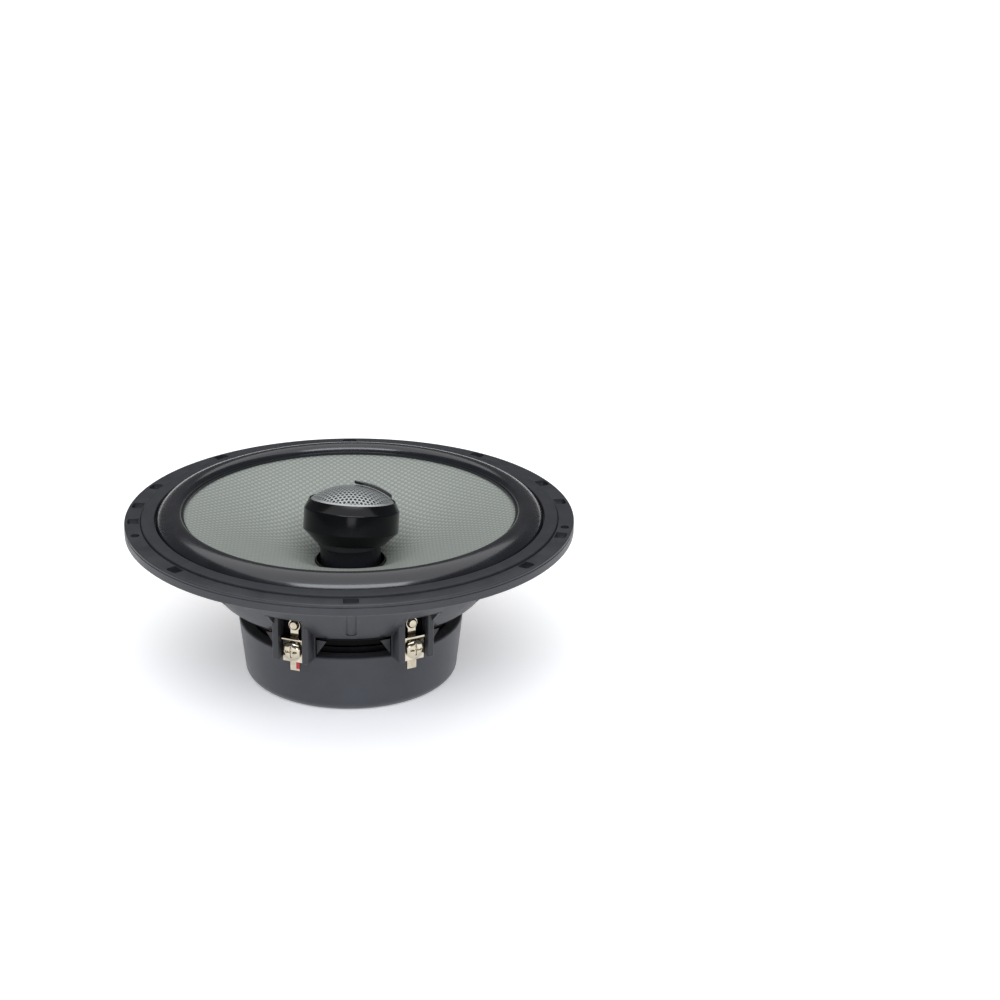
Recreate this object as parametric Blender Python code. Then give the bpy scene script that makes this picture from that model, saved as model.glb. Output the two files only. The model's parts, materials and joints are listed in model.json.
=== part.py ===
"""Coaxial car speaker: a 165 mm woofer with a swivelling dome tweeter on a post over its pole.

The base of the magnet's rubber boot stands on z = 0 and the axis of the cone is +Z.
The two screw terminals face -Y. All sizes are in metres.
"""

import math

import bmesh
import bpy
from mathutils import Matrix, Vector

# ---- clearances -------------------------------------------------------------------------
GAP = 0.0003  # between pieces that touch
RUNNING_GAP = 0.0004  # between the coil and the steel round it
POST_CLEARANCE = 0.0015  # between the fixed post and the moving former

# ---- overall sizes ----------------------------------------------------------------------
FLANGE_RADIUS = 0.0825
MOUNTING_DEPTH = 0.0613  # front face of the flange to the base of the boot
FLANGE_THICKNESS = 0.0044
EDGE_BEVEL = 0.0005

# ---- flange face, gasket and surround ---------------------------------------------------
SLOT_BAND = 0.0057  # bare ring of the flange that holds the screw slots
SEAT_DEPTH = 0.0017
GASKET_WIDTH = 0.0049
GASKET_PROUD = 0.0009
GASKET_EDGE = 0.0003
SURROUND_WIDTH = 0.0107  # gasket to the cone that shows
SURROUND_THICKNESS = 0.0008
SURROUND_LIP = 0.0042  # flat outer lip under the gasket
ROLL_HEIGHT = 0.0044  # top of the half roll above the flange face
ROLL_LEAN = 0.0008  # its top stands this much towards the cone
SLOT_WIDTH = 0.0054
SLOT_RADIAL = 0.0041
SLOT_CORNER = 0.0013
SLOT_WALL = 0.0004  # left between a slot and the gasket's seat
PILOT_RADIUS = 0.0016
PILOT_INSET = 0.0030  # centre of a pilot hole in from the flange's edge
SLOT_ANGLES = (8, 22.5, 51, 90, 129, 157.5, 172, 183.5, 219.5, 270, 321, 343.5)
PILOT_ANGLES = (193.5, 349.5)

# ---- cone, former, coil and spider ------------------------------------------------------
CONE_LAP = 0.0018  # hidden under the surround's inner lip
CONE_EDGE_HEIGHT = 0.0008  # cone's edge above the flange face
CONE_DEPTH = 0.0188  # edge to neck
CONE_BULGE = 0.0026  # how far the curved flare stands above a straight one
CONE_THICKNESS = 0.0008
FORMER_INNER = 0.0127
FORMER_WALL = 0.0003
FORMER_LENGTH = 0.0260
FORMER_PROUD = 0.0006  # former above the cone's neck
COIL_THICKNESS = 0.0005
COIL_HEIGHT = 0.0090
SPIDER_THICKNESS = 0.0006
SPIDER_WAVE = 0.0008
SPIDER_WAVES = 3
SPIDER_SEAT = 0.0032

# ---- basket -----------------------------------------------------------------------------
COLLAR_INSET = 0.0143  # collar that goes through the panel, in from the flange's edge
COLLAR_DEPTH = 0.0085
WALL_THICKNESS = 0.0022
FLOOR_RADIUS = 0.0483
FLOOR_DEPTH = 0.0291  # flange face to the underside of the basket's floor
FLOOR_THICKNESS = 0.0020
NECK_INSET = 0.0002  # neck in from the edge of the top plate
NECK_THICKNESS = 0.0025
FOOT_DEPTH = 0.0365  # flange face to the underside of the foot
FOOT_THICKNESS = 0.0025
FOOT_WIDTH = 0.0090
WINDOW_WIDTH = 0.0150
WINDOW_CORNER = 0.0025
WINDOW_TOP = 0.0095
WINDOW_BOTTOM = 0.0215
WINDOW_ANGLES = (0, 30, 60, 90, 120, 150, 180, 210, 330)

# ---- motor ------------------------------------------------------------------------------
PLATE_RADIUS = 0.0368
TOP_PLATE_THICKNESS = 0.0040
BACK_PLATE_THICKNESS = 0.0040
BACK_PLATE_CHAMFER = 0.0018
MAGNET_INSET = 0.0008
MAGNET_BORE = 0.0170
BOOT_WALL = 0.0046
BOOT_TAPER = 0.0020
BOOT_FLOOR = 0.0018
BOOT_FILLET = 0.0034
BOOT_CHAMFER = 0.0007
BOOT_TOP_DEPTH = 0.0389  # flange face to the boot's open edge
RIVET_INSET = 0.0056  # rivets in from the neck
RIVET_RADIUS = 0.0014
RIVET_HEAD_RADIUS = 0.0026
RIVET_HEAD_HEIGHT = 0.0012
RIVET_ANGLES = (45, 135, 225, 315)

# ---- screw terminals --------------------------------------------------------------------
TERMINALS = (("left", 246.2), ("right", 295.5))  # degrees round from +X
BOARD_RADIUS = 0.0488  # front of the board that carries the tab
BOARD_THICKNESS = 0.0016
GUARD_GAP = 0.0090  # between the two guard walls
GUARD_THICKNESS = 0.0030
GUARD_FRONT = 0.0540
GUARD_TOP = 0.0165
GUARD_BOTTOM = 0.0366
BOARD_BOTTOM = 0.0359
ROOF_THICKNESS = 0.0012
GUSSET_WIDTH = 0.0042
TAB_THICKNESS = 0.0008
TAB_NECK_WIDTH = 0.0030
TAB_WIDTH = 0.0078
LUG_WIDTH = 0.0036
EYELET_DEPTH = 0.0238
EYELET_RADIUS = 0.0012
EYELET_HEAD_RADIUS = 0.0019
EYELET_HEAD_HEIGHT = 0.0007
SCREW_DEPTH = 0.0329
PAD_HALF_HEIGHT = 0.0048
LUG_BOTTOM = 0.0415
CLAMP_THICKNESS = 0.0009
CLAMP_LIP = 0.0012
SCREW_RADIUS = 0.0015
SCREW_HEAD_RADIUS = 0.0037
SCREW_HEAD_HEIGHT = 0.0021
SCREW_LENGTH = 0.0062
CROSS_WIDTH = 0.0007
CROSS_DEPTH = 0.0009

# ---- tweeter post and swivel ------------------------------------------------------------
PIVOT_DEPTH = 0.0082  # centre of the ball below the flange face
POD_LEAN = 12.8  # degrees off upright as it stands
POD_LEAN_DIRECTION = 72.8  # degrees from +X towards +Y
BALL_EXCESS = 0.0008  # ball's radius over the post's
BALL_TOP = 0.0026  # flat top of the ball above its centre
SWIVEL_GAP = 0.0002
LINER_THICKNESS = 0.00035
LINER_HALF_HEIGHT = 0.0022
SKIRT_DROP = 0.0026  # end of the pod's skirt below the ball's centre
SKIRT_WALL = 0.0005
SPIGOT_RADIUS = 0.0039
LEAD_BORE = 0.0022
NUT_RADIUS = 0.0062
NUT_THICKNESS = 0.0016
WASHER_RADIUS = 0.0060
WASHER_THICKNESS = 0.0004

# ---- tweeter pod, heights above the centre of the ball ----------------------------------
POD_RADIUS = 0.01765
POD_WALL_BOTTOM = 0.0017
POD_WALL_TOP = 0.0100
GRILLE_HEIGHT = 0.0130  # plane of the grille's edge
GRILLE_RIM = 0.00235  # pod's edge to the grille's edge
GRILLE_RISE = 0.0056
GRILLE_THICKNESS = 0.0005
POD_FLOOR = 0.0058
POD_FLOOR_THICKNESS = 0.0009
POD_FLOOR_HOLE = 0.0035
CAVITY_WALL = 0.0030
YOKE_FLOOR = 0.0008
YOKE_WALL = 0.0016
YOKE_HEIGHT = 0.0042
DOME_RADIUS = 0.0098
DOME_RISE = 0.0034
DOME_THICKNESS = 0.0003
DOME_HEIGHT = 0.0119  # plane of the dome's edge
TWEETER_COIL_WALL = 0.0004
POLE_DISC_THICKNESS = 0.0009
BADGE_WIDTH = 0.0060
BADGE_THICKNESS = 0.0010
BADGE_OFFSET = 0.0021
BADGE_START = 0.0034  # middle of the round end from the pod's axis

# ---- leads and capacitor ----------------------------------------------------------------
LEAD_RADIUS = 0.00055
LEAD_SPREAD = 0.0009
LEAD_CHANNEL = 0.00085
TINSEL_RADIUS = 0.0005
POSITIVE_ANGLE = 220
NEGATIVE_ANGLE = 320
CAPACITOR_RADIUS = 0.0032
CAPACITOR_LENGTH = 0.0110
CAPACITOR_EDGE = 0.0004
CAPACITOR_ANGLE = 205

# ---- derived places ---------------------------------------------------------------------
FACE = MOUNTING_DEPTH
SEAT_RADIUS = FLANGE_RADIUS - SLOT_BAND
SEAT_Z = FACE - SEAT_DEPTH
GASKET_OUTER = SEAT_RADIUS - GAP
GASKET_INNER = GASKET_OUTER - GASKET_WIDTH
VISIBLE_CONE = GASKET_INNER - SURROUND_WIDTH
CONE_RADIUS = VISIBLE_CONE + CONE_LAP
FORMER_OUTER = FORMER_INNER + FORMER_WALL
NECK_INNER = FORMER_OUTER + GAP
CONE_EDGE_Z = FACE + CONE_EDGE_HEIGHT
NECK_Z = CONE_EDGE_Z - CONE_DEPTH
POST_RADIUS = FORMER_INNER - POST_CLEARANCE
POLE_RADIUS = FORMER_INNER - RUNNING_GAP
COIL_INNER = FORMER_OUTER + GAP
COIL_OUTER = COIL_INNER + COIL_THICKNESS
TOP_PLATE_BORE = COIL_OUTER + RUNNING_GAP
COLLAR_RADIUS = FLANGE_RADIUS - COLLAR_INSET
NECK_RADIUS = PLATE_RADIUS - NECK_INSET
FOOT_INNER = NECK_RADIUS - FOOT_WIDTH
RIVET_CIRCLE = NECK_RADIUS - RIVET_INSET
MAGNET_RADIUS = PLATE_RADIUS - MAGNET_INSET
BOOT_INNER = PLATE_RADIUS + GAP
BOOT_TOP_RADIUS = BOOT_INNER + BOOT_WALL
BOOT_BASE_RADIUS = BOOT_TOP_RADIUS - BOOT_TAPER
FLOOR_Z = FACE - FLOOR_DEPTH
FLOOR_TOP = FLOOR_Z + FLOOR_THICKNESS
FOOT_Z = FACE - FOOT_DEPTH
TOP_PLATE_TOP = FOOT_Z - GAP
TOP_PLATE_Z = TOP_PLATE_TOP - TOP_PLATE_THICKNESS
BACK_PLATE_Z = BOOT_FLOOR + GAP
BACK_PLATE_TOP = BACK_PLATE_Z + BACK_PLATE_THICKNESS
POST_Z = TOP_PLATE_TOP + GAP
PIVOT_Z = FACE - PIVOT_DEPTH
BALL_RADIUS = POST_RADIUS + BALL_EXCESS
LINER_INNER = BALL_RADIUS + SWIVEL_GAP
LINER_OUTER = LINER_INNER + LINER_THICKNESS
SOCKET_RADIUS = LINER_OUTER + SWIVEL_GAP
GRILLE_RADIUS = POD_RADIUS - GRILLE_RIM
CAVITY_RADIUS = POD_RADIUS - CAVITY_WALL
YOKE_Z = POD_FLOOR + POD_FLOOR_THICKNESS + GAP
YOKE_TOP = YOKE_Z + YOKE_HEIGHT
TWEETER_COIL_OUTER = DOME_RADIUS + GAP
TWEETER_COIL_INNER = TWEETER_COIL_OUTER - TWEETER_COIL_WALL
YOKE_INNER = TWEETER_COIL_OUTER + GAP
YOKE_OUTER = YOKE_INNER + YOKE_WALL
POD_MATRIX = Matrix.Translation((0, 0, PIVOT_Z)) @ Matrix.Rotation(
    math.radians(POD_LEAN),
    4,
    Vector(
        (
            -math.sin(math.radians(POD_LEAN_DIRECTION)),
            math.cos(math.radians(POD_LEAN_DIRECTION)),
            0,
        )
    ),
)


OFF_GRID = 4.3  # degrees
SIDEWAYS = Matrix(((0, 0, 1, 0), (1, 0, 0, 0), (0, 1, 0, 0), (0, 0, 0, 1)))  # X, Y, Z to Y, Z, X


# ---- helpers ----------------------------------------------------------------------------
def clear_scene():
    for obj in list(bpy.data.objects):
        bpy.data.objects.remove(obj, do_unlink=True)


def material(name, colour, roughness, metallic=0.0):
    """A plain finish for one piece; colour is linear red, green and blue."""
    made = bpy.data.materials.new(name)
    made.use_nodes = True
    shader = made.node_tree.nodes["Principled BSDF"]
    shader.inputs["Base Color"].default_value = (*colour, 1.0)
    shader.inputs["Roughness"].default_value = roughness
    shader.inputs["Metallic"].default_value = metallic
    return made


BLACK_PLASTIC = (0.045, 0.044, 0.047)
GLOSS_BLACK = (0.006, 0.007, 0.009)
RUBBER = (0.022, 0.023, 0.029)
STEEL = (0.45, 0.46, 0.48)
NICKEL = (0.78, 0.76, 0.72)
FERRITE = (0.05, 0.05, 0.055)
GLASS_FIBRE = (0.46, 0.50, 0.46)
COPPER = (0.60, 0.25, 0.12)


def add_object(name, mesh, colour, roughness, metallic=0.0):
    obj = bpy.data.objects.new(name, mesh)
    bpy.context.scene.collection.objects.link(obj)
    mesh.materials.append(material(name, colour, roughness, metallic))
    return obj


def finish_mesh(name, bm, smooth_angle=30):
    """Merges doubles, turns the faces outwards, shades round stretches smooth."""
    bmesh.ops.remove_doubles(bm, verts=bm.verts, dist=1e-6)
    bmesh.ops.recalc_face_normals(bm, faces=bm.faces)
    mesh = bpy.data.meshes.new(name)
    bm.to_mesh(mesh)
    bm.free()
    mesh.shade_smooth()
    mesh.set_sharp_from_angle(angle=math.radians(smooth_angle))
    return mesh


def turned(outline, segments, smooth_angle=30, name="turned"):
    """Mesh of a closed outline of (radius, z) points turned once round Z."""
    bm = bmesh.new()
    verts = [bm.verts.new((radius, 0.0, z)) for radius, z in outline]
    edges = [bm.edges.new((a, b)) for a, b in zip(verts, verts[1:])]
    on_axis = outline[0][0] == 0 and outline[-1][0] == 0
    if not on_axis:
        edges.append(bm.edges.new((verts[-1], verts[0])))
    bmesh.ops.spin(
        bm,
        geom=verts + edges,
        cent=(0, 0, 0),
        axis=(0, 0, 1),
        angle=2 * math.pi,
        steps=segments,
        use_merge=True,
    )
    return finish_mesh(name, bm, smooth_angle)


def ring(inner, outer, low, high):
    return [(inner, high), (outer, high), (outer, low), (inner, low)]


def disc(outer, low, high):
    return [(0, high), (outer, high), (outer, low), (0, low)]


def arc(centre_r, centre_z, radius, start, end, steps):
    """Points on an arc, its angles in degrees up from the outward direction."""
    points = []
    for step in range(steps + 1):
        angle = math.radians(start + (end - start) * step / steps)
        points.append((centre_r + radius * math.cos(angle), centre_z + radius * math.sin(angle)))
    return points


def ribbon(middle, thickness):
    """Closed outline of a sheet of even thickness along a line of (radius, z) points."""
    upper = []
    lower = []
    last = len(middle) - 1
    for index, (radius, z) in enumerate(middle):
        before = Vector(middle[max(index - 1, 0)])
        after = Vector(middle[min(index + 1, last)])
        along = (after - before).normalized()
        offset = Vector((-along.y, along.x)) * (thickness / 2)
        upper.append((radius + offset.x, z + offset.y))
        lower.append((radius - offset.x, z - offset.y))
    return upper + lower[::-1]


def box_mesh(low, high, bevel=0.0, name="box"):
    """Box between two corners; its edges may be rounded."""
    bm = bmesh.new()
    bmesh.ops.create_cube(bm, size=1.0)
    size = Vector(high) - Vector(low)
    centre = (Vector(high) + Vector(low)) / 2
    bmesh.ops.scale(bm, vec=size, verts=bm.verts)
    bmesh.ops.translate(bm, vec=centre, verts=bm.verts)
    if bevel:
        bmesh.ops.bevel(
            bm,
            geom=list(bm.edges),
            offset=bevel,
            segments=2,
            profile=0.5,
            affect="EDGES",
            material=-1,
        )
    return finish_mesh(name, bm)


def plate_mesh(outline, low, high, name="plate"):
    """A flat outline of (x, y) points, pulled up from low to high."""
    bm = bmesh.new()
    face = bm.faces.new([bm.verts.new((x, y, low)) for x, y in outline])
    pulled = bmesh.ops.extrude_face_region(bm, geom=[face])
    moved = [item for item in pulled["geom"] if isinstance(item, bmesh.types.BMVert)]
    bmesh.ops.translate(bm, vec=(0, 0, high - low), verts=moved)
    return finish_mesh(name, bm)


def cutter(name, mesh, matrix=None):
    """A helper solid that only shapes another piece."""
    obj = bpy.data.objects.new(name, mesh)
    bpy.context.scene.collection.objects.link(obj)
    obj.hide_render = True
    obj.display_type = "WIRE"
    if matrix:
        obj.matrix_world = matrix
    return obj


def boolean(target, helper, operation="DIFFERENCE"):
    modifier = target.modifiers.new(helper.name, "BOOLEAN")
    modifier.operation = operation
    modifier.solver = "EXACT"
    modifier.object = helper


def bore_mesh(radius, low, high, segments=16):
    """A round cutter along Z, its corners turned off the even angles of what it cuts."""
    mesh = turned(disc(radius, low, high), segments, name="bore")
    mesh.transform(turn(OFF_GRID))
    return mesh


def joined(name, meshes_and_places):
    """One mesh out of several separate ones, each put in its own place."""
    bm = bmesh.new()
    for mesh, place in meshes_and_places:
        copy = mesh.copy()
        copy.transform(place)
        bm.from_mesh(copy)
        bpy.data.meshes.remove(copy)
    mesh = bpy.data.meshes.new(name)
    bm.to_mesh(mesh)
    bm.free()
    return mesh


def turn(degrees):
    return Matrix.Rotation(math.radians(degrees), 4, "Z")


def polar(radius, degrees, z):
    angle = math.radians(degrees)
    return Vector((radius * math.cos(angle), radius * math.sin(angle), z))


def smooth_route(points, spacing):
    """Evenly spaced points on a Catmull-Rom curve through the given ones."""
    padded = [2 * points[0] - points[1], *points, 2 * points[-1] - points[-2]]
    fine = []
    for a, b, c, d in zip(padded, padded[1:], padded[2:], padded[3:]):
        for step in range(12):
            t = step / 12
            fine.append(
                0.5
                * (
                    2 * b
                    + (c - a) * t
                    + (2 * a - 5 * b + 4 * c - d) * t * t
                    + (3 * b - a - 3 * c + d) * t * t * t
                )
            )
    fine.append(points[-1])
    total = sum((b - a).length for a, b in zip(fine, fine[1:]))
    count = max(2, round(total / spacing))
    route = [fine[0]]
    walked = 0.0
    for a, b in zip(fine, fine[1:]):
        step = (b - a).length
        while len(route) < count and walked + step >= total * len(route) / count:
            share = (total * len(route) / count - walked) / step
            route.append(a + (b - a) * share)
        walked += step
    return [*route[:count], fine[-1]]


def lead(name, points, radius, colour, roughness, metallic=0.0):
    """A round wire along a smooth route."""
    curve = bpy.data.curves.new(name, "CURVE")
    curve.dimensions = "3D"
    curve.bevel_depth = radius
    curve.bevel_resolution = 1
    curve.use_fill_caps = True
    spline = curve.splines.new("POLY")
    route = smooth_route(points, 5 * radius)
    spline.points.add(len(route) - 1)
    for point, place in zip(spline.points, route):
        point.co = (*place, 1.0)
    obj = bpy.data.objects.new(name, curve)
    bpy.context.scene.collection.objects.link(obj)
    curve.materials.append(material(name, colour, roughness, metallic))
    return obj


def empty(name, matrix):
    obj = bpy.data.objects.new(name, None)
    bpy.context.scene.collection.objects.link(obj)
    obj.matrix_world = matrix
    return obj


# ---- shapes that several pieces share ---------------------------------------------------
def cone_height(radius):
    """Height of the cone's front surface: a straight flare with an even bulge."""
    share = (radius - NECK_INNER) / (VISIBLE_CONE - NECK_INNER)
    straight = NECK_Z + CONE_DEPTH * share
    return straight + 4 * CONE_BULGE * share * (1 - share)


def sphere_outline(radius, low, high, steps, centre_z=0.0):
    """Points on a sphere round the axis, from one height to another."""
    start = math.degrees(math.asin(low / radius))
    end = math.degrees(math.asin(high / radius))
    return arc(0, centre_z, radius, start, end, steps)


def cap_radius(chord, rise):
    return (chord * chord + rise * rise) / (2 * rise)


def cap_outline(chord, rise, height, steps):
    """Points on a dome, from its top on the axis down to its edge."""
    radius = cap_radius(chord, rise)
    edge = math.degrees(math.acos(chord / radius))
    return arc(0, height + rise - radius, radius, 90, edge, steps)


# ---- basket and flange ------------------------------------------------------------------
def build_basket():
    collar_inner = COLLAR_RADIUS - WALL_THICKNESS
    wall_foot = FLOOR_RADIUS + FLOOR_THICKNESS
    inner_foot = FLOOR_RADIUS - GAP
    outline = [
        (SEAT_RADIUS, FACE),
        (FLANGE_RADIUS - EDGE_BEVEL, FACE),
        (FLANGE_RADIUS, FACE - EDGE_BEVEL),
        (FLANGE_RADIUS, FACE - FLANGE_THICKNESS),
        (COLLAR_RADIUS, FACE - FLANGE_THICKNESS),
        (COLLAR_RADIUS, FACE - COLLAR_DEPTH),
        (wall_foot, FLOOR_TOP + EDGE_BEVEL),
        (FLOOR_RADIUS, FLOOR_Z),
        (NECK_RADIUS, FLOOR_Z),
        (NECK_RADIUS, FOOT_Z),
        (FOOT_INNER, FOOT_Z),
        (FOOT_INNER, FOOT_Z + FOOT_THICKNESS),
        (NECK_RADIUS - NECK_THICKNESS, FOOT_Z + FOOT_THICKNESS),
        (NECK_RADIUS - NECK_THICKNESS, FLOOR_TOP),
        (inner_foot, FLOOR_TOP),
        (collar_inner, FACE - COLLAR_DEPTH + EDGE_BEVEL),
        (collar_inner, SEAT_Z),
        (SEAT_RADIUS, SEAT_Z),
    ]
    basket = add_object("basket", turned(outline, 48, name="basket"), BLACK_PLASTIC, 0.45)

    half_guard = GUARD_GAP / 2 + GUARD_THICKNESS
    board_back = BOARD_RADIUS - BOARD_THICKNESS
    guard_top = FACE - GUARD_TOP
    guard_bottom = FACE - GUARD_BOTTOM
    board_bottom = FACE - BOARD_BOTTOM
    niche_half = (GUARD_GAP + GUARD_THICKNESS) / 2
    niche = box_mesh(
        (BOARD_RADIUS - BOARD_THICKNESS / 2, -niche_half, FLOOR_Z - FLOOR_THICKNESS),
        (COLLAR_RADIUS, niche_half, guard_top - ROOF_THICKNESS / 2),
    )
    board = box_mesh((board_back, -half_guard, board_bottom), (BOARD_RADIUS, half_guard, guard_top))
    roof_low = guard_top - ROOF_THICKNESS
    share = (roof_low - FLOOR_TOP) / (FACE - COLLAR_DEPTH - FLOOR_TOP)
    roof_front = wall_foot + (COLLAR_RADIUS - wall_foot) * share - GAP
    roof = box_mesh(
        (board_back + GAP, GAP - half_guard, roof_low),
        (roof_front, half_guard - GAP, guard_top - GAP),
    )
    guards = [
        box_mesh((board_back + GAP, low, guard_bottom), (GUARD_FRONT, high, guard_top - 2 * GAP))
        for low, high in ((2 * GAP - half_guard, -GUARD_GAP / 2), (GUARD_GAP / 2, half_guard - 2 * GAP))
    ]
    gusset = plate_mesh(
        [
            (-half_guard - GUSSET_WIDTH, FLOOR_Z + GAP),
            (half_guard + GUSSET_WIDTH, FLOOR_Z + GAP),
            (half_guard - GAP, board_bottom + GAP),
            (-half_guard + GAP, board_bottom + GAP),
        ],
        0.0,
        BOARD_THICKNESS - 2 * GAP,
    )
    upright = Matrix.Translation((board_back + GAP, 0, 0)) @ SIDEWAYS
    added = [(board, Matrix()), (roof, Matrix()), (gusset, upright)]
    added += [(guard, Matrix()) for guard in guards]
    screw_hole = hole_mesh(SCREW_RADIUS + GAP, FACE - SCREW_DEPTH)
    eyelet_hole = hole_mesh(EYELET_RADIUS + GAP, FACE - EYELET_DEPTH)
    for side, angle in TERMINALS:
        boolean(basket, cutter(f"niche_{side}", niche, turn(angle)))
        for index, (mesh, place) in enumerate(added):
            boolean(basket, cutter(f"bracket_{side}_{index}", mesh, turn(angle) @ place), "UNION")
        for label, mesh in (("screw", screw_hole), ("eyelet", eyelet_hole)):
            boolean(basket, cutter(f"{label}_{side}", mesh, turn(angle)))

    boolean(basket, cutter("slots", slots_mesh()))
    boolean(basket, cutter("windows", windows_mesh()))
    boolean(basket, cutter("foot_holes", rivet_holes_mesh()))
    boolean(basket, cutter("lead_holes", lead_holes_mesh()))


def hole_mesh(radius, z):
    """A short round cutter along +X through the terminal's board."""
    mesh = bore_mesh(radius, -3 * BOARD_THICKNESS, 3 * BOARD_THICKNESS)
    mesh.transform(
        Matrix.Translation((BOARD_RADIUS, 0, z)) @ Matrix.Rotation(math.pi / 2, 4, "Y")
    )
    return mesh


def slots_mesh():
    """Screw slots with a flat inner side and round outer corners, and the pilot holes."""
    inner = SEAT_RADIUS + SLOT_WALL
    outer = inner + SLOT_RADIAL
    half = SLOT_WIDTH / 2
    outline = [(inner, -half)]
    outline += [(x, -y) for x, y in reversed(slot_corner(outer, half))]
    outline += slot_corner(outer, half)
    outline += [(inner, half)]
    low = FACE - 2 * FLANGE_THICKNESS
    high = FACE + FLANGE_THICKNESS
    slot = plate_mesh(outline, low, high)
    pilot = bore_mesh(PILOT_RADIUS, low, high, 12)
    place = Matrix.Translation((FLANGE_RADIUS - PILOT_INSET, 0, 0))
    shapes = [(slot, turn(angle)) for angle in SLOT_ANGLES]
    shapes += [(pilot, turn(angle) @ place) for angle in PILOT_ANGLES]
    return joined("slots", shapes)


def slot_corner(outer, half):
    """The slot's round corner on its +Y side, from the outer edge to the straight side."""
    steps = 3
    points = []
    for step in range(steps + 1):
        angle = math.pi / 2 * step / steps
        points.append(
            (
                outer - SLOT_CORNER + SLOT_CORNER * math.cos(angle),
                half - SLOT_CORNER + SLOT_CORNER * math.sin(angle),
            )
        )
    return points


def windows_mesh():
    """Vent windows with round corners, above the band that stays whole."""
    half = WINDOW_WIDTH / 2
    low = FACE - WINDOW_BOTTOM
    high = FACE - WINDOW_TOP
    corner = WINDOW_CORNER
    outline = []
    for x, y, start in (
        (half - corner, high - corner, 0),
        (-half + corner, high - corner, 90),
        (-half + corner, low + corner, 180),
        (half - corner, low + corner, 270),
    ):
        outline += arc(x, y, corner, start, start + 90, 2)
    window = plate_mesh(outline, FLOOR_RADIUS, COLLAR_RADIUS + WALL_THICKNESS)
    return joined("windows", [(window, turn(angle) @ SIDEWAYS) for angle in WINDOW_ANGLES])


def rivet_holes_mesh():
    low = TOP_PLATE_Z - GAP
    hole = bore_mesh(RIVET_RADIUS + GAP, low, FOOT_Z + 2 * FOOT_THICKNESS, 12)
    place = Matrix.Translation((RIVET_CIRCLE, 0, 0))
    return joined("foot_holes", [(hole, turn(angle) @ place) for angle in RIVET_ANGLES])


def lead_hole_radius():
    """Where a tweeter lead comes up through the basket's floor."""
    return NECK_RADIUS + 3 * LEAD_RADIUS + GAP


def lead_holes_mesh():
    hole = bore_mesh(LEAD_CHANNEL, FLOOR_Z - GAP, FLOOR_TOP + GAP, 12)
    place = Matrix.Translation((lead_hole_radius(), 0, 0))
    angles = (POSITIVE_ANGLE, NEGATIVE_ANGLE)
    return joined("lead_holes", [(hole, turn(angle) @ place) for angle in angles])


def build_gasket():
    low = SEAT_Z + 2 * GAP + SURROUND_THICKNESS
    high = FACE + GASKET_PROUD
    outline = [
        (GASKET_INNER, high),
        (GASKET_OUTER - GASKET_EDGE, high),
        (GASKET_OUTER, high - GASKET_EDGE),
        (GASKET_OUTER, low),
        (GASKET_INNER, low),
    ]
    add_object("gasket_ring", turned(outline, 64, name="gasket_ring"), BLACK_PLASTIC, 0.6)


# ---- moving cone ------------------------------------------------------------------------
def build_cone():
    steps = 6
    radii = [NECK_INNER + (CONE_RADIUS - NECK_INNER) * i / steps for i in range(steps + 1)]
    front = [(radius, cone_height(radius)) for radius in radii]
    back = [(radius, z - CONE_THICKNESS) for radius, z in front]
    outline = front + back[::-1]
    add_object("cone", turned(outline, 40, name="cone"), GLASS_FIBRE, 0.4)

    top = NECK_Z + FORMER_PROUD
    former = ring(FORMER_INNER, FORMER_OUTER, top - FORMER_LENGTH, top)
    add_object("voice_coil_former", turned(former, 32), COPPER, 0.35)

    middle = TOP_PLATE_Z + TOP_PLATE_THICKNESS / 2
    coil = ring(COIL_INNER, COIL_OUTER, middle - COIL_HEIGHT / 2, middle + COIL_HEIGHT / 2)
    add_object("voice_coil_winding", turned(coil, 32), COPPER, 0.3, 1.0)


def build_surround():
    """Rubber half roll: inner lip on the cone, outer lip under the gasket."""
    half = SURROUND_THICKNESS / 2
    inner_z = CONE_EDGE_Z + GAP + half
    outer_z = SEAT_Z + GAP + half
    roll_inner = VISIBLE_CONE + CONE_LAP * 0.6
    roll_outer = GASKET_INNER - SURROUND_THICKNESS
    centre = (roll_inner + roll_outer) / 2
    half_width = (roll_outer - roll_inner) / 2
    steps = 6
    middle = [(VISIBLE_CONE, cone_height(VISIBLE_CONE) + GAP + half)]
    for step in range(steps + 1):
        angle = math.pi * step / steps
        foot = inner_z + (outer_z - inner_z) * step / steps
        rise = math.sin(angle)
        top = FACE + ROLL_HEIGHT - half
        middle.append(
            (
                centre - half_width * math.cos(angle) - ROLL_LEAN * rise * rise,
                foot + (top - (inner_z + outer_z) / 2) * rise,
            )
        )
    middle.append((GASKET_INNER + SURROUND_LIP, outer_z))
    outline = ribbon(middle, SURROUND_THICKNESS)
    add_object("surround", turned(outline, 40, 60, name="surround"), RUBBER, 0.42)


def build_spider():
    """Corrugated disc from the former to its seat on the basket's floor."""
    half = SPIDER_THICKNESS / 2
    rest = FLOOR_TOP + GAP + half
    inner = FORMER_OUTER + GAP
    seat_inner = NECK_RADIUS - NECK_THICKNESS
    steps = SPIDER_WAVES * 4
    middle = []
    for step in range(steps + 1):
        share = step / steps
        wave = SPIDER_WAVE * math.sin(2 * math.pi * SPIDER_WAVES * share)
        middle.append((inner + (seat_inner - inner) * share, rest + wave))
    middle.append((seat_inner + SPIDER_SEAT, rest))
    outline = ribbon(middle, SPIDER_THICKNESS)
    add_object("spider", turned(outline, 28, 60, name="spider"), (0.35, 0.22, 0.08), 0.8)


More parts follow.
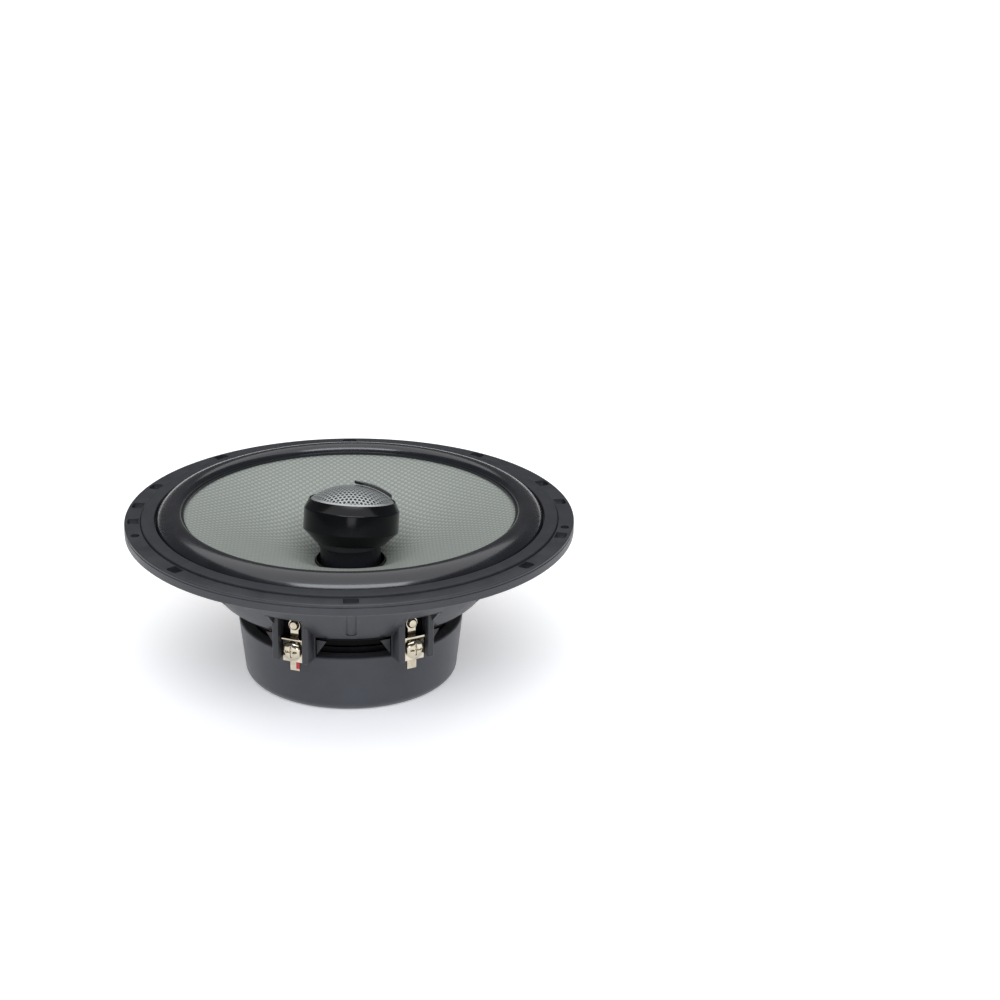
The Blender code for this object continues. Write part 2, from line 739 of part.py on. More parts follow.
# ---- motor ------------------------------------------------------------------------------
def build_motor():
    plate = ring(TOP_PLATE_BORE, PLATE_RADIUS, TOP_PLATE_Z, TOP_PLATE_TOP)
    top_plate = add_object("top_plate", turned(plate, 40), STEEL, 0.35, 1.0)
    boolean(top_plate, cutter("plate_holes", rivet_holes_mesh()))

    magnet = ring(MAGNET_BORE, MAGNET_RADIUS, BACK_PLATE_TOP + GAP, TOP_PLATE_Z - GAP)
    add_object("ferrite_magnet", turned(magnet, 40), FERRITE, 0.7)

    recess = BACK_PLATE_Z + WASHER_THICKNESS + NUT_THICKNESS + 3 * GAP
    recess_radius = NUT_RADIUS + 2 * GAP
    yoke = [
        (SPIGOT_RADIUS + GAP, TOP_PLATE_TOP),
        (POLE_RADIUS, TOP_PLATE_TOP),
        (POLE_RADIUS, BACK_PLATE_TOP),
        (PLATE_RADIUS, BACK_PLATE_TOP),
        (PLATE_RADIUS, BACK_PLATE_Z + BACK_PLATE_CHAMFER),
        (PLATE_RADIUS - BACK_PLATE_CHAMFER, BACK_PLATE_Z),
        (recess_radius, BACK_PLATE_Z),
        (recess_radius, recess),
        (SPIGOT_RADIUS + GAP, recess),
    ]
    add_object("pole_yoke", turned(yoke, 40), STEEL, 0.35, 1.0)
    for index, angle in enumerate(RIVET_ANGLES, 1):
        build_rivet(index, angle)


def build_rivet(index, angle):
    """Basket rivet: a domed head on the foot, its shank down through the top plate."""
    seat = FOOT_Z + FOOT_THICKNESS + GAP
    outline = [
        (0, seat + RIVET_HEAD_HEIGHT),
        (RIVET_HEAD_RADIUS * 0.7, seat + RIVET_HEAD_HEIGHT * 0.8),
        (RIVET_HEAD_RADIUS, seat + RIVET_HEAD_HEIGHT * 0.3),
        (RIVET_HEAD_RADIUS, seat),
        (RIVET_RADIUS, seat),
        (RIVET_RADIUS, TOP_PLATE_Z + GAP),
        (0, TOP_PLATE_Z + GAP),
    ]
    rivet = add_object(f"basket_rivet_{index}", turned(outline, 16), STEEL, 0.35, 1.0)
    rivet.matrix_world = Matrix.Translation(polar(RIVET_CIRCLE, angle, 0))


def build_boot():
    """Rubber boot round the magnet, with channels inside for the tweeter's leads."""
    top = FACE - BOOT_TOP_DEPTH
    outline = [
        (0, BOOT_FLOOR),
        (BOOT_INNER, BOOT_FLOOR),
        (BOOT_INNER, top),
        (BOOT_TOP_RADIUS - BOOT_CHAMFER, top),
        (BOOT_TOP_RADIUS, top - BOOT_CHAMFER),
        *arc(BOOT_BASE_RADIUS - BOOT_FILLET, BOOT_FILLET, BOOT_FILLET, 0, -90, 4),
        (0, 0),
    ]
    boot = add_object("magnet_boot", turned(outline, 48, name="magnet_boot"), RUBBER, 0.6)
    boolean(boot, cutter("boot_channels", boot_channels_mesh()))


def lead_floor_z():
    """Height of a lead's middle where it crosses the boot's floor."""
    return BOOT_FLOOR - LEAD_CHANNEL + GAP


def lead_wall_radius():
    """Distance of a lead's middle from the axis where it climbs the boot's wall."""
    return BOOT_INNER + LEAD_RADIUS


def boot_channels_mesh():
    """A round well under the nut, two straight grooves out of it and two up the wall."""
    well = bore_mesh(NUT_RADIUS, lead_floor_z() - LEAD_CHANNEL, BACK_PLATE_Z, 24)
    half = LEAD_CHANNEL
    reach = lead_wall_radius() + half
    wide = half + GAP / 2
    groove = box_mesh((NUT_RADIUS / 2, -wide, lead_floor_z() - half), (reach, wide, BACK_PLATE_Z))
    riser = box_mesh(
        (BOOT_INNER - half, -half, BOOT_FLOOR - GAP), (reach - GAP, half, FACE - FLOOR_DEPTH)
    )
    channels = cutter("channel_well", well)
    for angle in (POSITIVE_ANGLE, NEGATIVE_ANGLE):
        boolean(channels, cutter(f"channel_groove_{angle}", groove, turn(angle)), "UNION")
        boolean(channels, cutter(f"channel_riser_{angle}", riser, turn(angle)), "UNION")
    bpy.context.view_layer.update()
    evaluated = channels.evaluated_get(bpy.context.evaluated_depsgraph_get())
    return bpy.data.meshes.new_from_object(evaluated)


# ---- screw terminals --------------------------------------------------------------------
def terminal_outline():
    """Tab seen from the front: round eyelet end, wide clamping pad, narrow solder lug."""
    eyelet = -EYELET_DEPTH
    neck = TAB_NECK_WIDTH / 2
    pad = TAB_WIDTH / 2
    lug = LUG_WIDTH / 2
    pad_top = -SCREW_DEPTH + PAD_HALF_HEIGHT
    pad_bottom = -SCREW_DEPTH - PAD_HALF_HEIGHT
    round_end = arc(0, eyelet, EYELET_HEAD_RADIUS + GAP, -30, 210, 10)
    left_side = [(-neck, eyelet - EYELET_HEAD_RADIUS), (-neck, pad_top), (-pad, pad_top)]
    right_side = [(pad, pad_top), (neck, pad_top), (neck, eyelet - EYELET_HEAD_RADIUS)]
    lower = [(-pad, pad_bottom), (-lug, pad_bottom), (-lug, -LUG_BOTTOM)]
    lower += [(lug, -LUG_BOTTOM), (lug, pad_bottom), (pad, pad_bottom)]
    return [*round_end, *left_side, *lower, *right_side]


def build_terminals():
    tab_low = BOARD_RADIUS + GAP
    tab_high = tab_low + TAB_THICKNESS
    clamp_low = tab_high + GAP
    clamp_high = clamp_low + CLAMP_THICKNESS
    head_low = clamp_high + GAP
    clamp_half = GUARD_GAP / 2 - GAP
    for side, angle in TERMINALS:
        # Local +Z points out along the radius, local +X along the rim, local +Y up.
        outward = turn(angle) @ Matrix.Translation((0, 0, FACE)) @ SIDEWAYS
        at_screw = outward @ Matrix.Translation((0, -SCREW_DEPTH, 0))
        at_eyelet = outward @ Matrix.Translation((0, -EYELET_DEPTH, 0))

        mesh = plate_mesh(terminal_outline(), tab_low, tab_high)
        tab = add_object(f"terminal_tab_{side}", mesh, NICKEL, 0.25, 1.0)
        tab.matrix_world = outward
        span = 2 * TAB_THICKNESS
        hole = bore_mesh(SCREW_RADIUS + GAP, tab_low - span, tab_high + span)
        boolean(tab, cutter(f"tab_screw_{side}", hole, at_screw))
        hole = bore_mesh(EYELET_RADIUS + GAP, tab_low - span, tab_high + span)
        boolean(tab, cutter(f"tab_eyelet_{side}", hole, at_eyelet))

        folded = [
            (-PAD_HALF_HEIGHT, clamp_low),
            (PAD_HALF_HEIGHT, clamp_low),
            (PAD_HALF_HEIGHT, clamp_high + CLAMP_LIP),
            (PAD_HALF_HEIGHT - CLAMP_THICKNESS, clamp_high + CLAMP_LIP),
            (PAD_HALF_HEIGHT - CLAMP_THICKNESS, clamp_high),
            (-PAD_HALF_HEIGHT, clamp_high),
        ]
        mesh = plate_mesh(folded, -clamp_half, clamp_half)
        mesh.transform(SIDEWAYS)
        plate = add_object(f"clamp_plate_{side}", mesh, NICKEL, 0.25, 1.0)
        plate.matrix_world = at_screw
        hole = bore_mesh(SCREW_RADIUS + GAP, clamp_low - span, clamp_high + span)
        boolean(plate, cutter(f"clamp_hole_{side}", hole, at_screw))

        build_clamp_screw(side, head_low, at_screw)
        build_eyelet(side, tab_high + GAP, at_eyelet)


def build_clamp_screw(side, head_low, place):
    """Pan-head screw with a cross recess; its shank goes through plate, tab and board."""
    head_high = head_low + SCREW_HEAD_HEIGHT
    edge = SCREW_HEAD_HEIGHT * 0.45
    outline = [
        (0, head_high),
        (SCREW_HEAD_RADIUS * 0.55, head_high - SCREW_HEAD_HEIGHT * 0.08),
        (SCREW_HEAD_RADIUS * 0.88, head_high - SCREW_HEAD_HEIGHT * 0.3),
        (SCREW_HEAD_RADIUS, head_low + edge),
        (SCREW_HEAD_RADIUS, head_low),
        (SCREW_RADIUS, head_low),
        (SCREW_RADIUS, head_low - SCREW_LENGTH + SCREW_RADIUS * 0.5),
        (SCREW_RADIUS * 0.6, head_low - SCREW_LENGTH),
        (0, head_low - SCREW_LENGTH),
    ]
    screw = add_object(f"clamp_screw_{side}", turned(outline, 24), NICKEL, 0.25, 1.0)
    screw.matrix_world = place
    reach = SCREW_HEAD_RADIUS * 0.6
    low = head_high - CROSS_DEPTH
    for index, (x, y) in enumerate(((reach, CROSS_WIDTH / 2), (CROSS_WIDTH / 2, reach))):
        blade = box_mesh((-x, -y, low), (x, y, head_high + CROSS_DEPTH))
        boolean(screw, cutter(f"cross_{side}_{index}", blade, place))


def build_eyelet(side, head_low, place):
    """Rivet through tab and board, with a head on both sides."""
    back = BOARD_RADIUS - BOARD_THICKNESS - GAP
    outline = [
        (0, head_low + EYELET_HEAD_HEIGHT),
        (EYELET_HEAD_RADIUS * 0.7, head_low + EYELET_HEAD_HEIGHT * 0.8),
        (EYELET_HEAD_RADIUS, head_low),
        (EYELET_RADIUS, head_low),
        (EYELET_RADIUS, back),
        (EYELET_HEAD_RADIUS, back),
        (EYELET_HEAD_RADIUS, back - EYELET_HEAD_HEIGHT),
        (0, back - EYELET_HEAD_HEIGHT),
    ]
    rivet = add_object(f"terminal_rivet_{side}", turned(outline, 16), NICKEL, 0.3, 1.0)
    rivet.matrix_world = place


# ---- tweeter post -----------------------------------------------------------------------
def build_post():
    """Hollow post: spigot through the pole, round shaft, ball on top."""
    ball_low = -math.sqrt(BALL_RADIUS**2 - POST_RADIUS**2)
    spigot_low = BACK_PLATE_Z + GAP
    ball = sphere_outline(BALL_RADIUS, ball_low, BALL_TOP, 6, PIVOT_Z)
    outline = [
        (LEAD_BORE, spigot_low),
        (SPIGOT_RADIUS, spigot_low),
        (SPIGOT_RADIUS, POST_Z),
        (POST_RADIUS, POST_Z),
        *ball,
        (LEAD_BORE * 2, PIVOT_Z + BALL_TOP),
        (LEAD_BORE, PIVOT_Z - LEAD_BORE),
    ]
    add_object("tweeter_post", turned(outline, 32, 40, name="tweeter_post"), GLOSS_BLACK, 0.3)

    hole = SPIGOT_RADIUS + GAP
    nut_low = BACK_PLATE_Z + GAP
    nut_high = nut_low + NUT_THICKNESS
    mesh = turned(disc(NUT_RADIUS, nut_low, nut_high), 6)
    post_nut = add_object("post_nut", mesh, STEEL, 0.35, 1.0)
    bore = bore_mesh(hole, nut_low - NUT_THICKNESS, nut_high + NUT_THICKNESS, 24)
    boolean(post_nut, cutter("nut_bore", bore))
    washer_low = nut_low + NUT_THICKNESS + GAP
    washer = ring(hole, WASHER_RADIUS, washer_low, washer_low + WASHER_THICKNESS)
    add_object("post_washer", turned(washer, 24), STEEL, 0.35, 1.0)


# ---- tweeter pod ------------------------------------------------------------------------
def build_pod():
    pod = empty("pod_axis", POD_MATRIX)
    swivel = empty("swivel_axis", Matrix.Translation((0, 0, PIVOT_Z)))

    liner = sphere_outline(LINER_OUTER, -LINER_HALF_HEIGHT, LINER_HALF_HEIGHT, 4)
    liner += sphere_outline(LINER_INNER, LINER_HALF_HEIGHT, -LINER_HALF_HEIGHT, 4)
    place_in(swivel, add_object("swivel_liner", turned(liner, 32, 60), (0.5, 0.5, 0.47), 0.6))

    place_in(pod, add_object("tweeter_housing", housing_mesh(), GLOSS_BLACK, 0.2))
    place_in(pod, add_object("tweeter_grille", grille_mesh(), (0.62, 0.62, 0.63), 0.3, 1.0))
    place_in(pod, add_object("badge_strip", badge_mesh(), (0.02, 0.02, 0.022), 0.3))
    build_tweeter_motor(pod)


def place_in(parent, obj):
    obj.parent = parent


def housing_mesh():
    """Pod shell: chamfered shoulder, straight wall, tapered skirt over the ball."""
    socket = sphere_outline(SOCKET_RADIUS, -SKIRT_DROP, LINER_HALF_HEIGHT + GAP, 5)
    skirt_end = socket[0][0] + SKIRT_WALL
    floor_top = POD_FLOOR + POD_FLOOR_THICKNESS
    ledge = GRILLE_HEIGHT - GRILLE_THICKNESS - GAP
    lip = GRILLE_RADIUS + GAP
    seat = min(CAVITY_RADIUS, lip - GRILLE_THICKNESS)
    outline = [
        (lip, GRILLE_HEIGHT + GAP),
        (lip + GAP, GRILLE_HEIGHT + GAP),
        (POD_RADIUS, POD_WALL_TOP),
        (POD_RADIUS, POD_WALL_BOTTOM),
        (skirt_end, -SKIRT_DROP),
        *socket,
        (SOCKET_RADIUS, POD_FLOOR),
        (POD_FLOOR_HOLE, POD_FLOOR),
        (POD_FLOOR_HOLE, floor_top),
        (seat, floor_top),
        (seat, ledge),
        (lip, ledge),
    ]
    return turned(outline, 48, name="tweeter_housing")


def grille_mesh():
    """Domed guard of even thickness over the tweeter."""
    low = GRILLE_HEIGHT - GRILLE_THICKNESS
    outer = cap_outline(GRILLE_RADIUS, GRILLE_RISE, GRILLE_HEIGHT, 6)
    inner = cap_outline(GRILLE_RADIUS - GRILLE_THICKNESS, GRILLE_RISE, low, 6)
    outline = [*outer, (GRILLE_RADIUS, low), *reversed(inner)]
    outline[0] = (0, outline[0][1])
    outline[-1] = (0, outline[-1][1])
    return turned(outline, 40, 60, name="tweeter_grille")


def badge_mesh():
    """Blank strip over the grille: round at its inner end, bent to the dome, set off centre."""
    dome = cap_radius(GRILLE_RADIUS, GRILLE_RISE)
    centre_z = GRILLE_HEIGHT + GRILLE_RISE - dome
    half = BADGE_WIDTH / 2
    end = math.sqrt(GRILLE_RADIUS**2 - (BADGE_OFFSET + half) ** 2)
    rows = []
    for step in range(5):
        angle = math.pi / 2 * step / 4
        rows.append((BADGE_START - half * math.cos(angle), half * math.sin(angle)))
    for step in range(1, 9):
        rows.append((BADGE_START + (end - BADGE_START) * step / 8, half))
    bm = bmesh.new()
    layers = []
    for lift in (2 * GAP, 2 * GAP + BADGE_THICKNESS):
        radius = dome + lift
        grid = []
        for x, width in rows:
            line = []
            for share in (-1, -0.5, 0, 0.5, 1):
                y = BADGE_OFFSET + width * share
                z = centre_z + math.sqrt(radius**2 - x * x - y * y)
                line.append(bm.verts.new((x, y, z)))
            grid.append(line)
        layers.append(grid)
    lower, upper = layers
    for grid in layers:
        for near, far in zip(grid, grid[1:]):
            for a, b, c, d in zip(near, near[1:], far[1:], far):
                bm.faces.new((a, b, c, d))
    last = len(rows) - 1
    rim = [(0, i) for i in range(5)]
    rim += [(row, 4) for row in range(1, last + 1)]
    rim += [(last, i) for i in range(3, -1, -1)]
    rim += [(row, 0) for row in range(last - 1, 0, -1)]
    for (row, col), (row_next, col_next) in zip(rim, rim[1:] + rim[:1]):
        bm.faces.new(
            (
                lower[row][col],
                lower[row_next][col_next],
                upper[row_next][col_next],
                upper[row][col],
            )
        )
    bmesh.ops.remove_doubles(bm, verts=bm.verts, dist=1e-6)
    return finish_mesh("badge_strip", bm, 40)


def build_tweeter_motor(pod):
    """Cup, neodymium disc and pole disc, with the dome, its coil and its clamp ring."""
    cup_floor = YOKE_Z + YOKE_FLOOR
    yoke = [
        (POD_FLOOR_HOLE, cup_floor),
        (YOKE_INNER, cup_floor),
        (YOKE_INNER, YOKE_TOP),
        (YOKE_OUTER, YOKE_TOP),
        (YOKE_OUTER, YOKE_Z),
        (POD_FLOOR_HOLE, YOKE_Z),
    ]
    place_in(pod, add_object("tweeter_yoke", turned(yoke, 32), STEEL, 0.35, 1.0))

    disc_radius = TWEETER_COIL_INNER - GAP
    magnet_low = cup_floor + GAP
    magnet_high = YOKE_TOP - POLE_DISC_THICKNESS - GAP
    bore = POD_FLOOR_HOLE - 2 * GAP
    magnet = ring(bore, disc_radius - GAP, magnet_low, magnet_high)
    place_in(pod, add_object("tweeter_magnet", turned(magnet, 32), (0.3, 0.3, 0.32), 0.3, 1.0))
    plate = ring(bore, disc_radius, magnet_high + GAP, YOKE_TOP)
    place_in(pod, add_object("tweeter_pole_disc", turned(plate, 32), STEEL, 0.35, 1.0))

    coil_low = magnet_high - GAP
    coil_high = DOME_HEIGHT - DOME_THICKNESS - GAP
    coil = ring(TWEETER_COIL_INNER, TWEETER_COIL_OUTER, coil_low, coil_high)
    place_in(pod, add_object("tweeter_coil", turned(coil, 32), COPPER, 0.3, 1.0))

    outer = cap_outline(DOME_RADIUS, DOME_RISE, DOME_HEIGHT, 4)
    inner = cap_outline(DOME_RADIUS - DOME_THICKNESS, DOME_RISE, DOME_HEIGHT - DOME_THICKNESS, 4)
    rim = TWEETER_COIL_OUTER
    low = DOME_HEIGHT - DOME_THICKNESS
    outline = [*outer, (rim, DOME_HEIGHT), (rim, low), *reversed(inner)]
    outline[0] = (0, outline[0][1])
    outline[-1] = (0, outline[-1][1])
    place_in(pod, add_object("tweeter_dome", turned(outline, 32, 60), (0.25, 0.25, 0.27), 0.5))

    steps = 6
    edge_inner = rim + GAP
    edge_outer = YOKE_OUTER + 2 * GAP
    middle = []
    for step in range(steps + 1):
        share = step / steps
        middle.append(
            (
                edge_inner + (edge_outer - edge_inner) * share,
                low + DOME_THICKNESS / 2 + 0.0005 * math.sin(math.pi * share),
            )
        )
    edge = turned(ribbon(middle, DOME_THICKNESS), 32, 60)
    place_in(pod, add_object("tweeter_dome_surround", edge, RUBBER, 0.6))

    clamp_inner = edge_outer + GAP
    clamp_outer = min(CAVITY_RADIUS, GRILLE_RADIUS + GAP - GRILLE_THICKNESS) - GAP
    clamp = ring(clamp_inner, clamp_outer, YOKE_TOP, low)
    place_in(pod, add_object("tweeter_face_ring", turned(clamp, 32), BLACK_PLASTIC, 0.5))


# ---- leads and capacitor ----------------------------------------------------------------
def build_leads():
    top_inside = PIVOT_Z - GAP
    floor = lead_floor_z()
    wall = lead_wall_radius()
    rise = FACE - BOOT_TOP_DEPTH
    hole = lead_hole_radius()
    capacitor_r = capacitor_place()
    ends = {
        "positive": polar(capacitor_r, CAPACITOR_ANGLE + 11, FLOOR_TOP + CAPACITOR_RADIUS + GAP),
        "negative": polar(BOARD_RADIUS - 0.0062, TERMINALS[1][1] + 3, FACE - EYELET_DEPTH),
    }
    for label, angle, colour in (
        ("positive", POSITIVE_ANGLE, (0.45, 0.02, 0.02)),
        ("negative", NEGATIVE_ANGLE, (0.02, 0.02, 0.02)),
    ):
        middle = (polar(hole, angle, FLOOR_TOP + 0.004) + ends[label]) / 2
        route = [
            polar(LEAD_SPREAD, angle, top_inside),
            polar(LEAD_SPREAD, angle, TOP_PLATE_TOP),
            polar(LEAD_SPREAD, angle, BACK_PLATE_TOP),
            polar(LEAD_SPREAD, angle, BACK_PLATE_Z + GAP),
            polar(LEAD_SPREAD + 0.0009, angle, floor + GAP),
            polar(LEAD_SPREAD + 0.003, angle, floor),
            polar(wall / 2, angle, floor),
            polar(wall - 0.003, angle, floor),
            polar(wall - 0.0006, angle, floor + 0.0007),
            polar(wall, angle, floor + 0.003),
            polar(wall, angle, rise / 2),
            polar(wall, angle, rise),
            polar(hole, angle, rise + 0.006),
            polar(hole, angle, FLOOR_Z),
            polar(hole, angle, FLOOR_TOP + 0.0010),
            polar(hole, angle, FLOOR_TOP + 0.0030),
            Vector((middle.x, middle.y, FLOOR_TOP + 0.0065)),
            ends[label],
        ]
        lead(f"tweeter_lead_{label}", route, LEAD_RADIUS, colour, 0.5)

    for label, angle in (("positive", 180), ("negative", 0)):
        route = [
            POD_MATRIX @ polar(LEAD_SPREAD, angle, GAP),
            POD_MATRIX @ polar(LEAD_SPREAD, angle, POD_FLOOR),
            POD_MATRIX @ polar(LEAD_SPREAD, angle, YOKE_TOP + GAP),
        ]
        lead(f"pod_lead_{label}", route, LEAD_RADIUS * 0.8, COPPER, 0.4, 1.0)

    for side, angle in TERMINALS:
        start = polar(FORMER_OUTER + 0.006, angle, cone_height(FORMER_OUTER + 0.006) - 0.0022)
        inward = BOARD_RADIUS - BOARD_THICKNESS - EYELET_HEAD_HEIGHT - 2 * GAP - TINSEL_RADIUS
        finish = polar(inward, angle, FACE - EYELET_DEPTH)
        sag = (start + finish) / 2 - Vector((0, 0, 0.004))
        route = [start, start.lerp(sag, 0.5), sag, finish.lerp(sag, 0.35), finish]
        lead(f"tinsel_lead_{side}", route, TINSEL_RADIUS, COPPER, 0.4, 1.0)


def capacitor_place():
    """Middle of the capacitor, between the spider's seat and the basket's wall."""
    spider_edge = NECK_RADIUS - NECK_THICKNESS + SPIDER_SEAT
    return (spider_edge + FLOOR_RADIUS) / 2


def build_capacitor():
    """Crossover capacitor lying on the basket's floor, and its lead to the live tab."""
    radius = capacitor_place()
    z = FLOOR_TOP + CAPACITOR_RADIUS + GAP
    half = CAPACITOR_LENGTH / 2
    outline = [
        (0, half),
        (CAPACITOR_RADIUS - CAPACITOR_EDGE, half),
        (CAPACITOR_RADIUS, half - CAPACITOR_EDGE),
        (CAPACITOR_RADIUS, CAPACITOR_EDGE - half),
        (CAPACITOR_RADIUS - CAPACITOR_EDGE, -half),
        (0, -half),
    ]
    along_rim = Matrix.Rotation(math.pi / 2, 4, "X")
    body = add_object("crossover_capacitor", turned(outline, 24), (0.02, 0.03, 0.09), 0.4)
    body.matrix_world = turn(CAPACITOR_ANGLE) @ Matrix.Translation((radius, 0, z)) @ along_rim


def main():
    clear_scene()
    build_basket()
    build_gasket()
    build_cone()
    build_surround()
    build_spider()
    build_motor()
    build_boot()
    build_terminals()
    build_post()
    build_pod()
    build_capacitor()
    build_leads()


main()
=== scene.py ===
"""Coaxial car speaker: the finished look of each piece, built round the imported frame."""

import json
import math

import bmesh
import bpy
import numpy as np
from mathutils import Matrix, Vector


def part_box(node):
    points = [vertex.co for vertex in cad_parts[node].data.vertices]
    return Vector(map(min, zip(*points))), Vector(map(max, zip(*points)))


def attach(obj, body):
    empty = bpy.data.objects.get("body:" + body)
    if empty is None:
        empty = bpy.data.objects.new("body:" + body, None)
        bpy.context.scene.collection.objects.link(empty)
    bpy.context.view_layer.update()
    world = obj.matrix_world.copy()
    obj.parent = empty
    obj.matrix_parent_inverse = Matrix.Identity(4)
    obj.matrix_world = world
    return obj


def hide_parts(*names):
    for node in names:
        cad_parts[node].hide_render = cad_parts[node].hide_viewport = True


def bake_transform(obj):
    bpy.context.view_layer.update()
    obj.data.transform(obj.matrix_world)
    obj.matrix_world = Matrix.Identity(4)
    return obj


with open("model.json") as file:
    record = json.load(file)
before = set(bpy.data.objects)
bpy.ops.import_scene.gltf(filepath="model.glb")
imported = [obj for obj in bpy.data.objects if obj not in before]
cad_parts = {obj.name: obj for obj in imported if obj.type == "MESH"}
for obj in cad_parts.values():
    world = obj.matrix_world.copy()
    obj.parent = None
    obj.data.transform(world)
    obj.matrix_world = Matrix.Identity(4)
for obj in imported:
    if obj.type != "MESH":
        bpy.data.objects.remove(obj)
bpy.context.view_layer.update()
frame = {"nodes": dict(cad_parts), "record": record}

bl_info = {
    "name": "Coaxial Car Speaker",
    "version": (1, 0, 0),
    "blender": (4, 5, 0),
    "location": "View3D > Sidebar > Speaker",
    "description": "Builds the finished pieces of a coaxial car speaker round its frame",
    "category": "Object",
}

MM = 0.001
BODY_OF = {
    node: body
    for body, nodes in frame["record"]["behaviour"]["bodies"].items()
    for node in nodes
}
JOINTS = {joint["name"]: joint for joint in frame["record"]["behaviour"]["joints"]}


# ---- driving sizes, in millimetres, from the frame --------------------------------------
def low(node, axis):
    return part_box(node)[0][axis] / MM


def high(node, axis):
    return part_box(node)[1][axis] / MM


FACE = high("gasket_ring", 2) - 0.9
FLANGE_RADIUS = high("basket", 0)
GASKET_OUTER = high("gasket_ring", 0)
GASKET_INNER = GASKET_OUTER - 4.9
SEAT_RADIUS = GASKET_OUTER + 0.3
SEAT_Z = FACE - 1.7
CONE_OUTER = high("cone", 0)
CONE_SEEN = CONE_OUTER - 1.8
CONE_EDGE_Z = FACE + 0.8
NECK_RADIUS = high("voice_coil_former", 0) + 0.3
PIVOT = Vector(JOINTS["tweeter_pan"]["pos_m"])
POD_AXIS = Vector(JOINTS["tweeter_dome_travel"]["axis"])
TILT_AXIS = Vector(JOINTS["tweeter_tilt"]["axis"])
POD_MATRIX = Matrix.Translation(PIVOT) @ Matrix.Rotation(
    math.acos(POD_AXIS.z), 4, TILT_AXIS
)
POST_RADIUS = high("tweeter_post", 0)
BOOT_RADIUS = high("magnet_boot", 0)
BOOT_TOP = high("magnet_boot", 2)
TERMINALS = (("left", 246.2), ("right", 295.5))
FLOOR_DEPTH = 29.1
BOARD_BACK = 47.2
BOARD_FRONT = 48.8
BOARD_DEPTH = 35.9
GUARD_FRONT = 54.0
GUARD_DEPTH = 36.6
GUARD_TOP_DEPTH = 16.5
GUARD_HALF_GAP = 4.5
BRACKET_HALF = 7.5
COLLAR_RADIUS = 68.2
SCREW_HOLE = (1.8, 32.9)  # radius and depth below the flange's face
EYELET_HOLE = (1.5, 23.8)
CONE_DEPTH = 18.8
CONE_BULGE = 2.6
CONE_THICKNESS = 0.8
CONE_NECK_Z = CONE_EDGE_Z - CONE_DEPTH
PAINTED_SHADE_RADIUS = 49.25  # painted shade makes the basket near black inside this radius
PAINTED_SHADE_DEPTH = 16.6  # and further than this below the flange's face
SIDEWAYS = Matrix(((0, 0, 1, 0), (1, 0, 0, 0), (0, 1, 0, 0), (0, 0, 0, 1)))


# ---- colour and node helpers ------------------------------------------------------------
def linear(code):
    """Linear colour of an sRGB hex value."""
    values = [int(code[i : i + 2], 16) / 255 for i in (1, 3, 5)]
    straight = [v / 12.92 if v <= 0.04045 else ((v + 0.055) / 1.055) ** 2.4 for v in values]
    return (*straight, 1.0)


def add(tree, kind, settings=None, links=None):
    """Adds a node, sets its properties and sockets, and links other nodes into it."""
    node = tree.nodes.new(kind)
    for key, value in (settings or {}).items():
        if isinstance(key, str) and hasattr(node, key):
            setattr(node, key, value)
        else:
            node.inputs[key].default_value = value
    for key, source in (links or {}).items():
        tree.links.new(source, node.inputs[key])
    return node


def new_material(name):
    made = bpy.data.materials.new(name)
    made.use_nodes = True
    tree = made.node_tree
    return made, tree, tree.nodes["Principled BSDF"]


def place(tree, scale=(1, 1, 1)):
    """Object coordinates, scaled."""
    spot = add(tree, "ShaderNodeTexCoord")
    return add(
        tree, "ShaderNodeMapping", {"Scale": scale}, {"Vector": spot.outputs["Object"]}
    ).outputs["Vector"]


def ramp(tree, source, stops):
    """A colour ramp of (position, colour) stops."""
    node = add(tree, "ShaderNodeValToRGB", None, {"Fac": source})
    elements = node.color_ramp.elements
    while len(elements) < len(stops):
        elements.new(0.5)
    for element, (position, colour) in zip(elements, stops):
        element.position = position
        element.color = colour
    return node.outputs["Color"]


def grey(value):
    return (value, value, value, 1.0)


# ---- materials --------------------------------------------------------------------------
def grained_finish(name, colours, roughness, grain_mm, depth_mm, mottle_mm=9.0, metallic=0.0):
    """A moulded or plated skin: slow colour mottle, a fine grain, uneven roughness."""
    made, tree, shader = new_material(name)
    mottle = add(
        tree,
        "ShaderNodeTexNoise",
        {"Scale": 1 / (mottle_mm * MM), "Detail": 4.0, "Roughness": 0.6},
        {"Vector": place(tree)},
    )
    grain = add(
        tree,
        "ShaderNodeTexNoise",
        {"Scale": 1 / (grain_mm * MM), "Detail": 3.0, "Roughness": 0.65},
        {"Vector": place(tree)},
    )
    tone = ramp(
        tree,
        mottle.outputs["Fac"],
        [(0.3, linear(colours[0])), (0.72, linear(colours[1]))],
    )
    rough = ramp(
        tree,
        mottle.outputs["Fac"],
        [(0.3, grey(roughness[0])), (0.75, grey(roughness[1]))],
    )
    bump = add(
        tree,
        "ShaderNodeBump",
        {"Strength": 0.6, "Distance": depth_mm * MM},
        {"Height": grain.outputs["Fac"]},
    )
    tree.links.new(tone, shader.inputs["Base Color"])
    tree.links.new(rough, shader.inputs["Roughness"])
    tree.links.new(bump.outputs["Normal"], shader.inputs["Normal"])
    shader.inputs["Metallic"].default_value = metallic
    return made, tree, shader


